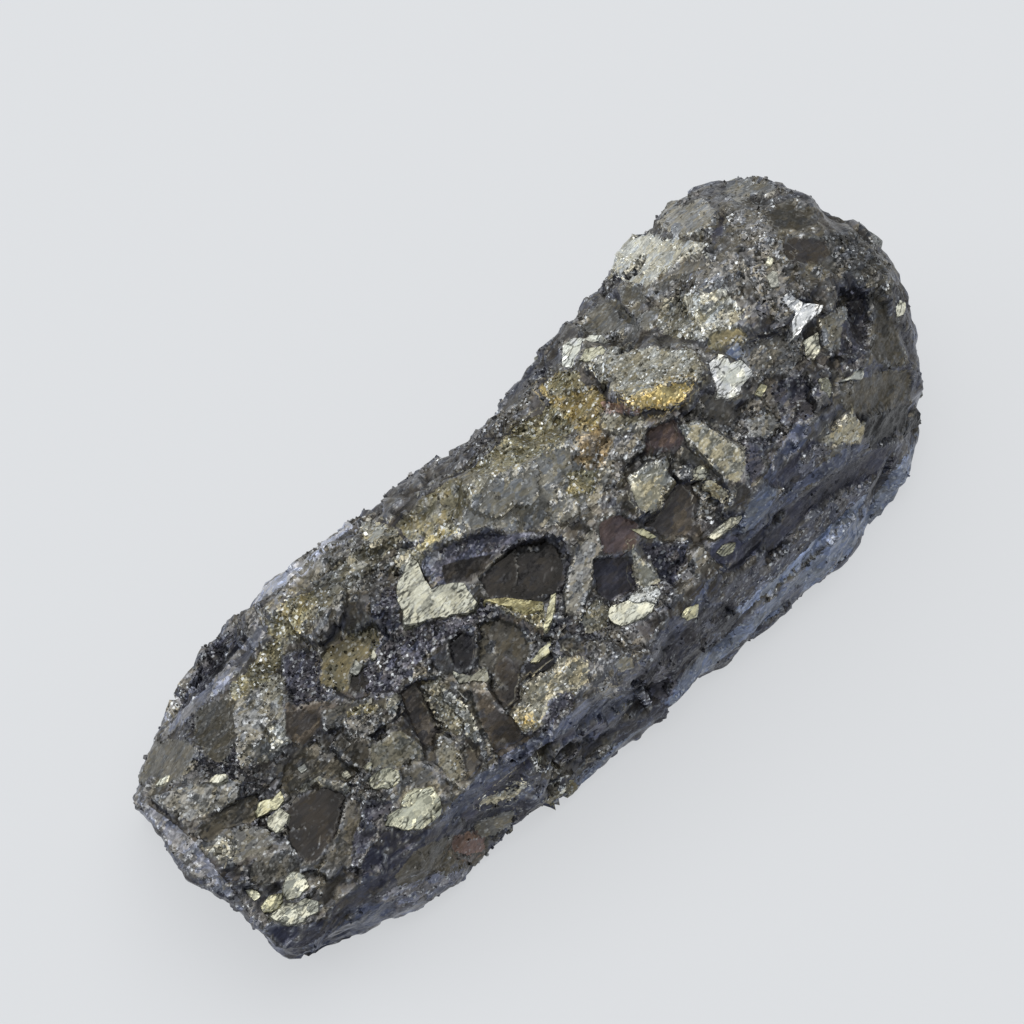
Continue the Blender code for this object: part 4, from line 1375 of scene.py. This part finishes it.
def strew_grains(points, normals, tint, speck, covered, count, size):
    """Small uneven blocks set halfway into the mass where it is granular, turned by chance.

    They are fewer on walls and where the surface is edge-on to the camera, and gather in patches.
    """
    rng = np.random.default_rng(seed=43)
    chance = np.where(covered, 0.0, np.clip(speck - 0.3, 0, None)) * (points[:, 2] > LOWEST_GRAIN)
    chance = chance * (1 - 0.8 * wall_share(points, normals))
    chance *= 0.35 + smoothstep(-0.3, 0.8, layered(points, width=1.6, layers=2, seed=91))
    chance *= 1 - 0.9 * np.exp(-(facing(points, normals) / 0.35) ** 2)
    pick = rng.choice(len(points), count, replace=False, p=chance / chance.sum())
    scale = size / 2 * rng.lognormal(0, 0.35, (count, 1)) * rng.uniform(0.55, 1.0, (count, 3))
    corners = GRAIN_CORNERS[None] * scale[:, None, :]
    corners = corners * rng.uniform(0.7, 1.1, (count, 8, 1))
    turned = np.einsum("nij,nkj->nki", turned_axes(rng, count), corners)
    sink = rng.uniform(-0.35, 0.35, (count, 1)) * scale[:, :1]
    places = points[pick] + normals[pick] * sink
    vertices = (places[:, None] + turned).reshape(-1, 3)
    vertices[:, 2] = np.maximum(vertices[:, 2], 0.0)
    faces = (GRAIN_FACES[None] + 8 * np.arange(count)[:, None, None]).reshape(-1, 4)
    draw = rng.random(count)
    base = tint[pick] * rng.uniform(0.55, 1.5, (count, 1))
    # painted glint: a share of the grains are mixed towards the glint colour
    bright = np.clip(0.12 + 1.5 * base.mean(axis=1), 0, 0.5) * (draw > 1 - GLINT_GRAINS)
    base = mix(base, COLOURS["glint"], bright)
    base = np.where(draw[:, None] < DARK_GRAINS, base * 0.65, base)
    return vertices, faces, np.repeat(np.clip(base, 0, 0.9), 8, axis=0)


# ---------------------------------------------------------------- materials


class Value:
    """A shader socket whose arithmetic is written as a Python expression."""

    def __init__(self, graph, socket):
        self.graph = graph
        self.socket = socket

    def __add__(self, other):
        return self.graph.math("ADD", self, other)

    def __sub__(self, other):
        return self.graph.math("SUBTRACT", self, other)

    def __rsub__(self, other):
        return self.graph.math("SUBTRACT", other, self)

    def __mul__(self, other):
        return self.graph.math("MULTIPLY", self, other)

    __radd__ = __add__
    __rmul__ = __mul__


class Graph:
    """A material's nodes, made one at a time from a type, its settings and its sockets' values."""

    def __init__(self, name):
        self.material = bpy.data.materials.new(name)
        self.material.use_nodes = True
        self.tree = self.material.node_tree
        self.tree.nodes.clear()

    def node(self, kind, settings, inputs, output=0):
        """Makes a node, sets it up, feeds its sockets, and returns the output asked for, if any."""
        made = self.tree.nodes.new(kind)
        for key, value in settings.items():
            setattr(made, key, value)
        for key, value in inputs.items():
            if isinstance(value, Value):
                self.tree.links.new(value.socket, made.inputs[key])
            else:
                made.inputs[key].default_value = value
        if isinstance(output, tuple):
            return [Value(self, made.outputs[k]) for k in output]
        return Value(self, made.outputs[output]) if made.outputs else None

    def finish(self, inputs):
        """Feeds a Principled shader into the material's output, and returns the material."""
        shader = self.node("ShaderNodeBsdfPrincipled", {}, inputs)
        self.node("ShaderNodeOutputMaterial", {}, {"Surface": shader})
        return self.material

    def math(self, operation, a, b):
        return self.node("ShaderNodeMath", {"operation": operation}, {0: a, 1: b})

    def between(self, low, high, value):
        """0 from low outwards, 1 from high outwards, smooth between. Low may be the larger."""
        return self.node("ShaderNodeMapRange", {"interpolation_type": "SMOOTHSTEP"},
                         {"Value": value, "From Min": low, "From Max": high})

    def mix(self, factor, a, b):
        """Colour a at factor 0, and b at 1."""
        return self.node("ShaderNodeMix", {"data_type": "RGBA"}, {0: factor, 6: a, 7: b}, 2)

    def times(self, a, b):
        """Two colours multiplied."""
        return self.node("ShaderNodeMix", {"data_type": "RGBA", "blend_type": "MULTIPLY"},
                         {0: 1.0, 6: a, 7: b}, 2)

    def shade(self, colour, value):
        """A colour made lighter or darker by a number."""
        return self.times(colour, self.node("ShaderNodeCombineColor", {}, {0: value, 1: value, 2: value}))

    def point_value(self, name, output):
        """A point attribute: output 0 is its colour, 2 its number and 3 its fourth channel."""
        return self.node("ShaderNodeAttribute", {"attribute_name": name}, {}, output)

    def channel(self, colour, index):
        """One of a colour's three numbers."""
        return self.node("ShaderNodeSeparateColor", {}, {0: colour}, index)

    def place(self, stretch, turn_deg):
        """Object coordinates in millimetres, turned about Z and drawn out."""
        where = self.node("ShaderNodeTexCoord", {}, {}, 3)
        scale = tuple(1 / (MM * s) for s in stretch)
        return self.node("ShaderNodeMapping", {}, {
            "Vector": where, "Rotation": (0, 0, math.radians(turn_deg)), "Scale": scale})

    def cloud(self, where, width, detail, output=0):
        """Soft noise of the given width: output 0 is a number and 1 a colour."""
        return self.node("ShaderNodeTexNoise", {"noise_dimensions": "3D"},
                         {"Vector": where, "Scale": 1 / width, "Detail": detail}, output)

    def vector(self, operation, a, b):
        return self.node("ShaderNodeVectorMath", {"operation": operation}, {0: a, 1: b})

    def scaled(self, a, amount):
        return self.node("ShaderNodeVectorMath", {"operation": "SCALE"}, {0: a, "Scale": amount})

    def warp(self, where, width, amount):
        """Pushes places about by noise of the given width."""
        return self.vector("ADD", where, self.scaled(self.cloud(where, width, 1.0, 1), amount))

    def cells(self, where, width, metric="EUCLIDEAN"):
        """Cells of the given width: how far each place is from its cell's seed, and a colour by chance."""
        return self.node("ShaderNodeTexVoronoi", {"feature": "F1", "distance": metric},
                         {"Vector": where, "Scale": 1 / width}, (0, 1))

    def leant_normal(self, leans):
        """The surface's normal, leant by chance colours, so each grain glints its own way."""
        normal = self.node("ShaderNodeNewGeometry", {}, {}, 1)
        for colour, lean in leans:
            push = self.scaled(self.vector("SUBTRACT", colour, (0.5, 0.5, 0.5)), lean)
            normal = self.vector("ADD", normal, push)
        return self.vector("NORMALIZE", normal, (0, 0, 0))


def ore_cells(g, grain):
    """What splits the ore, with widths in millimetres.

    These are small grains and angular flakes, each with a colour by chance, dust, and fine streaks
    drawn out along the lump.
    """
    where = g.warp(g.place((1.3, 1, 1), turn_deg=42), width=0.35, amount=0.14)
    away, chance = g.cells(where, grain)
    slanted = g.warp(g.place((1.5, 0.8, 1), turn_deg=38), width=0.5, amount=0.10)
    _, flake = g.cells(slanted, 0.36, "MANHATTAN")
    lengthwise = g.warp(g.place((6.0, 0.9, 0.9), turn_deg=-4), width=0.9, amount=0.25)
    streak = g.cloud(lengthwise, width=0.13, detail=1.0, output=1)
    return away, chance, flake, g.cloud(where, width=0.07, detail=2.0), streak


# What a flake's colour is multiplied by: it falls between a cool and a warm one.
ORE_HUES = ((0.90, 0.97, 1.12, 1), (1.08, 1.02, 0.86, 1))
CRYSTAL_HUES = ((0.97, 0.99, 1.03, 1), (1.03, 1.01, 0.95, 1))


def ore_shader(g, tint, speck, shade, extra_rough, cells, hues, streaky, flaky):
    """Granular pyrite: the tint broken into dark, plain and glinting grains that lean by chance.

    Speck is how granular it is. Shade darkens or lightens it. Streaky is how much the streaks show,
    and flaky how much the angular flakes do where there are no grains.
    """
    away, chance, flake, dust, streak = cells
    lone, pit, spark = (g.channel(chance, k) for k in (0, 1, 2))
    mottle = 0.59 + 0.58 * lone + 0.9 * (dust - 0.3)
    broad = 1 + (g.channel(flake, 0) - 0.5) * (flaky + 0.45 * speck)
    broad = broad * (1 + streaky * (g.channel(streak, 0) - 0.5))
    colour = g.shade(tint, (1 + (mottle - 1) * speck) * shade * broad)
    colour = g.times(colour, g.mix(g.channel(flake, 1), *hues))
    dark = g.between(0.26, 0.10, pit) * speck
    colour = g.shade(colour, 1 - 0.42 * dark)
    # painted glint: a few grains take the glint colour into their base colour, more where the tint is pale
    glint = g.between(0.88, 0.96, spark) * speck
    pale = g.between(0.0, 0.22, g.channel(tint, 1))
    colour = g.mix((0.20 + 0.5 * pale) * glint, colour, (*COLOURS["glint"], 1))
    normal = g.leant_normal(((chance, 0.08 + 0.60 * speck), (flake, 0.04 + flaky + 0.36 * speck),
                             (streak, 0.18 * streaky + 0.27 * speck)))
    rough = 0.26 + 0.20 * speck * away * 2 + extra_rough
    return g.finish({"Base Color": colour, "Metallic": 0.5 + 0.45 * speck, "Roughness": rough,
                     "Normal": normal, "Specular IOR Level": 0.25})


def mass_material():
    """The mass: at a face's outline one finish is cut sharply from the next, grain by grain.

    Painted shade, a thin dark line, runs along the cut in some stretches, and a painted highlight, a
    thin pale line just inside the cut, in others.
    """
    g = Graph("pyrite_ore")
    cells = ore_cells(g, grain=0.10)
    _, chance, _, dust, _ = cells
    over, under = g.point_value("over", 0), g.point_value("under", 0)
    upper, lower = g.point_value("over", 3), g.point_value("under", 3)
    ragged = (g.channel(chance, 0) - 0.5) * (0.10 + 0.30 * upper) + 0.25 * (dust - 0.5)
    edge = g.point_value("edge", 2) + ragged
    inside = g.between(0.46, 0.54, edge)
    speck = lower + (upper - lower) * inside
    # painted shade along the cut in some stretches, and a painted highlight just inside it in others
    gap_shade = g.between(0.085, 0.02, g.math("ABSOLUTE", edge - 0.46, 0))
    comes = g.cloud(g.place((1, 1, 1), turn_deg=0), width=0.5, detail=1.0)
    gap_shade = gap_shade * g.between(0.42, 0.56, comes)
    rim_highlight = g.between(0.50, 0.54, edge) * g.between(0.66, 0.57, edge) * g.between(0.56, 0.42, comes)
    tint, shade = g.mix(inside, under, over), (1 - 0.5 * gap_shade) * (1 + 0.5 * rim_highlight)
    return ore_shader(g, tint, speck, shade, 0.0, cells, ORE_HUES, streaky=1.1, flaky=0.05)


CRACK_SPACING = 0.62    # millimetres, before the cracks are drawn out


def crystal_material():
    """Crystal faces: fine dark cracks that come and go, and dark specks that gather at the rim."""
    g = Graph("pyrite_crystal")
    tint, speck = g.point_value("tint", 0), g.point_value("speck", 2)
    crack, rim = g.point_value("crack", 2), g.point_value("rim", 2)
    where = g.place((2.6, 0.8, 1), turn_deg=52)
    bent = g.warp(g.warp(where, width=0.9, amount=0.5), width=0.15, amount=0.10)
    net = g.node("ShaderNodeTexVoronoi", {"feature": "DISTANCE_TO_EDGE"},
                 {"Vector": bent, "Scale": 1 / CRACK_SPACING})
    patch = g.cloud(where, width=0.45, detail=2.0)
    cut = g.between(0.065, 0.008, net) * g.between(0.37, 0.52, patch) * crack
    fine = g.cloud(where, width=0.11, detail=1.0)
    fleck = g.between(0.52, 0.62, fine + 0.10 * (patch - 0.5))
    dirt = fleck * g.between(0.25, 0.95, rim + 0.9 * (patch - 0.45))
    shade = (1 - 0.85 * cut) * (1 - 0.75 * dirt)
    return ore_shader(g, tint, speck, shade, 0.1 * dirt, ore_cells(g, grain=0.08), CRYSTAL_HUES,
                      streaky=0.5, flaky=0.34)


def grain_material():
    """Small grains: each keeps its own tint, with a little mottling."""
    g = Graph("pyrite_grain")
    dust = g.cloud(g.place((1, 1, 1), turn_deg=0), width=0.08, detail=1.0)
    colour = g.shade(g.point_value("tint", 0), 0.6 + 0.8 * dust)
    return g.finish({"Base Color": colour, "Metallic": 0.9, "Roughness": 0.34 + 0.2 * dust})


# ---------------------------------------------------------------- making the pieces

made = {}


def work_out_lump():
    """Shapes and tints everything once, for the three operators that show it.

    Normals are taken again after each reshaping, from a draft mesh that is removed at the end.
    """
    if made:
        return made
    settings = bpy.context.scene.pyrite
    points, faces = dome_grid(settings.around, settings.upward)
    draft = add_piece("draft", points, faces[:-1], bpy.data.materials.new("draft"), 40)

    def normals_of(places):
        draft.data.vertices.foreach_set("co", (places * MM).astype(np.float32).ravel())
        draft.data.update()
        return read_vectors(draft.data.vertex_normals, "vector")

    points = press_onto_solid(draft)
    normals = normals_of(points)
    points, big, small, depths = shape_mass(points, normals)
    normals = normals_of(points)
    named = named_crystals(points, normals)
    taken = [(c[1], np.linalg.norm(c[3], axis=1).mean()) for c in named]
    crystals = named + chance_crystals(points, normals, taken, settings.hidden_crystals)
    covered, pane = bed_crystals(points, normals, crystals)
    points[:, 2] = np.maximum(points[:, 2], 0.0)
    normals = normals_of(points)
    over, under, edge = tint_mass(points, normals, settings.upward, big, small, depths, pane)
    made.update(points=points, faces=faces, normals=normals, over=over, under=under, edge=edge,
                crystals=[c for c in crystals if c[0] != "smooth"], covered=covered)
    mesh, material = draft.data, draft.data.materials[0]
    bpy.data.objects.remove(draft)
    bpy.data.meshes.remove(mesh)
    bpy.data.materials.remove(material)
    return made


def stand_for_node(piece):
    """Marks a piece as part of the lump: it rides on the body and takes the place of the solid."""
    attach(piece, BODY)
    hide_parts(NODE)


def make_mass():
    """The mass, with both finishes and the edge between them at each point."""
    lump = work_out_lump()
    mass = add_piece("pyrite_mass", lump["points"], lump["faces"], mass_material(), sharp_deg=38)
    add_attributes(mass, {name: lump[name] for name in ("over", "under", "edge")})
    stand_for_node(mass)


MOST_SEEDS = 997        # a crystal's noise is seeded by its place in the mesh, wrapped at this number


def make_crystals():
    """All crystals as one piece: a colour of its kind drawn for each, and made blotchy by noise."""
    lump = work_out_lump()
    rng = np.random.default_rng(seed=77)
    faces, start = [], 0
    columns = {name: [] for name in ("place", "tint", "speck", "rim", "crack")}
    for kind, centre, normal, outline, tone in lump["crystals"]:
        colours, speck, crack = KINDS[kind]
        points, quads, tris, rim = crystal_surface(centre, normal, outline, start % MOST_SEEDS)
        points[:, 2] = np.maximum(points[:, 2], 0.0)
        colour = np.array(COLOURS[colours[rng.integers(len(colours))]]) * tone * rng.uniform(0.9, 1.1)
        blotch = 1.02 + 0.30 * layered(points, width=0.6, layers=2, seed=13)
        columns["place"].append(points)
        columns["tint"].append(np.clip(colour * blotch[:, None], 0, 0.95))
        columns["speck"].append(np.full(len(points), speck))
        columns["rim"].append(rim)
        columns["crack"].append(np.full(len(points), crack))
        faces += (quads + start).tolist() + (tris + start).tolist()
        start += len(points)
    columns = {name: np.concatenate(parts) for name, parts in columns.items()}
    crystals = add_piece("pyrite_crystals", columns.pop("place"), faces, crystal_material(), sharp_deg=30)
    add_attributes(crystals, columns)
    stand_for_node(crystals)


def make_grains():
    """The grains, each tinted as the mass under it."""
    lump = work_out_lump()
    settings = bpy.context.scene.pyrite
    finish = np.where(lump["edge"][:, None] > 0.5, lump["over"], lump["under"])
    points, faces, tint = strew_grains(
        lump["points"], lump["normals"], finish[:, :3], finish[:, 3], lump["covered"],
        settings.grain_count, settings.grain_size / MM)
    grains = add_piece("pyrite_grains", points, faces.tolist(), grain_material(), sharp_deg=20)
    add_attributes(grains, {"tint": tint})
    stand_for_node(grains)


# ---------------------------------------------------------------- stage

WORLD_COLOUR = (0.90, 0.95, 1.0)
WORLD_STRENGTH = 0.45
FLOOR_GLOW = 0.575            # the floor is lit a little from below, so that shadows stay faint
# Soft lights: place and size in metres, power in watts, colour. Each points at the lump.
LIGHTS = {
    "overhead": (OVERHEAD_LIGHT, 0.75, 2.7, (1.0, 0.99, 0.98)),
    "rear_left": ((-0.35, 0.45, 0.22), 0.40, 1.2, (0.93, 0.96, 1.0)),
}
GLOW_COLOUR = (0.957, 0.976, 1.0)
FLOOR_HALF = 3.0              # half its width, in metres
FLOOR_LINES = 7               # points along each side of its grid


def floor_material(colour):
    """A matt floor, very slightly clouded."""
    g = Graph("floor")
    cloud = g.node("ShaderNodeTexNoise", {}, {"Scale": 9.0, "Detail": 2.0})
    shade = g.shade((*colour, 1), 0.985 + 0.03 * cloud)
    return g.finish({"Base Color": shade, "Roughness": 0.85, "Specular IOR Level": 0.2,
                     "Emission Color": (*GLOW_COLOUR, 1), "Emission Strength": FLOOR_GLOW})


def make_floor():
    """A flat square grid under the lump."""
    edge = np.linspace(-FLOOR_HALF, FLOOR_HALF, FLOOR_LINES) / MM
    x, y = np.meshgrid(edge, edge)
    points = np.stack((x, y, np.zeros_like(x)), axis=-1).reshape(-1, 3)
    quads = grid_quads(FLOOR_LINES, FLOOR_LINES, wrap=False).tolist()
    material = floor_material(tuple(bpy.context.scene.pyrite.floor_colour))
    floor = add_piece("floor", points, quads, material, sharp_deg=30)


def make_lights():
    """The soft lights, each a disk that faces the lump, and the light of the room."""
    for name, (place, size, power, colour) in LIGHTS.items():
        light = bpy.data.lights.new(name, "AREA")
        light.shape = "DISK"
        light.size = size
        light.energy = power
        light.color = colour
        obj = bpy.data.objects.new(name, light)
        obj.location = place
        obj.rotation_euler = Vector(place).to_track_quat("Z", "Y").to_euler()
        bpy.context.scene.collection.objects.link(obj)
    world = bpy.data.worlds.new("studio")
    world.use_nodes = True
    sky = world.node_tree.nodes["Background"]
    sky.inputs["Color"].default_value = (*WORLD_COLOUR, 1)
    sky.inputs["Strength"].default_value = WORLD_STRENGTH
    bpy.context.scene.world = world


def make_camera():
    """The camera at its place, its axes taken from the view's own directions."""
    data = bpy.data.cameras.new("camera")
    data.lens = LENS
    data.sensor_width = SENSOR
    data.clip_start = 0.01
    camera = bpy.data.objects.new("camera", data)
    axes = Matrix((RIGHT, UP, BACK)).transposed()
    camera.matrix_world = Matrix.Translation(Vector(EYE) * MM) @ axes.to_4x4()
    bpy.context.scene.collection.objects.link(camera)
    bpy.context.scene.camera = camera


# ---------------------------------------------------------------- add-on


class PYRITE_OT_stage(bpy.types.Operator):
    """Make the floor, the lights and the camera"""

    bl_idname = "pyrite.stage"
    bl_label = "Stage"

    def execute(self, context):
        context.scene.view_settings.view_transform = "Standard"
        make_camera()
        make_floor()
        make_lights()
        return {"FINISHED"}


class PYRITE_OT_mass(bpy.types.Operator):
    """Make the broken mass that everything else stands in"""

    bl_idname = "pyrite.mass"
    bl_label = "Mass"

    def execute(self, context):
        make_mass()
        return {"FINISHED"}


class PYRITE_OT_crystals(bpy.types.Operator):
    """Make the larger crystals"""

    bl_idname = "pyrite.crystals"
    bl_label = "Crystals"

    def execute(self, context):
        make_crystals()
        return {"FINISHED"}


class PYRITE_OT_grains(bpy.types.Operator):
    """Strew the small grains"""

    bl_idname = "pyrite.grains"
    bl_label = "Grains"

    def execute(self, context):
        make_grains()
        return {"FINISHED"}


class PYRITE_PT_panel(bpy.types.Panel):
    """Sizes of the lump, and a button for each piece"""

    bl_label = "Rough Pyrite"
    bl_space_type = "VIEW_3D"
    bl_region_type = "UI"
    bl_category = "Pyrite"

    def draw(self, context):
        for name in PyriteSettings.__annotations__:
            self.layout.prop(context.scene.pyrite, name)
        for operator in OPERATORS:
            self.layout.operator(operator.bl_idname)


OPERATORS = (PYRITE_OT_stage, PYRITE_OT_mass, PYRITE_OT_crystals, PYRITE_OT_grains)
CLASSES = (PyriteSettings, *OPERATORS, PYRITE_PT_panel)


def register():
    for cls in CLASSES:
        bpy.utils.register_class(cls)
    bpy.types.Scene.pyrite = bpy.props.PointerProperty(type=PyriteSettings)


def unregister():
    del bpy.types.Scene.pyrite
    for cls in reversed(CLASSES):
        bpy.utils.unregister_class(cls)


def main():
    register()
    bpy.ops.pyrite.stage()
    bpy.ops.pyrite.mass()
    bpy.ops.pyrite.crystals()
    bpy.ops.pyrite.grains()


if __name__ == "__main__":
    main()
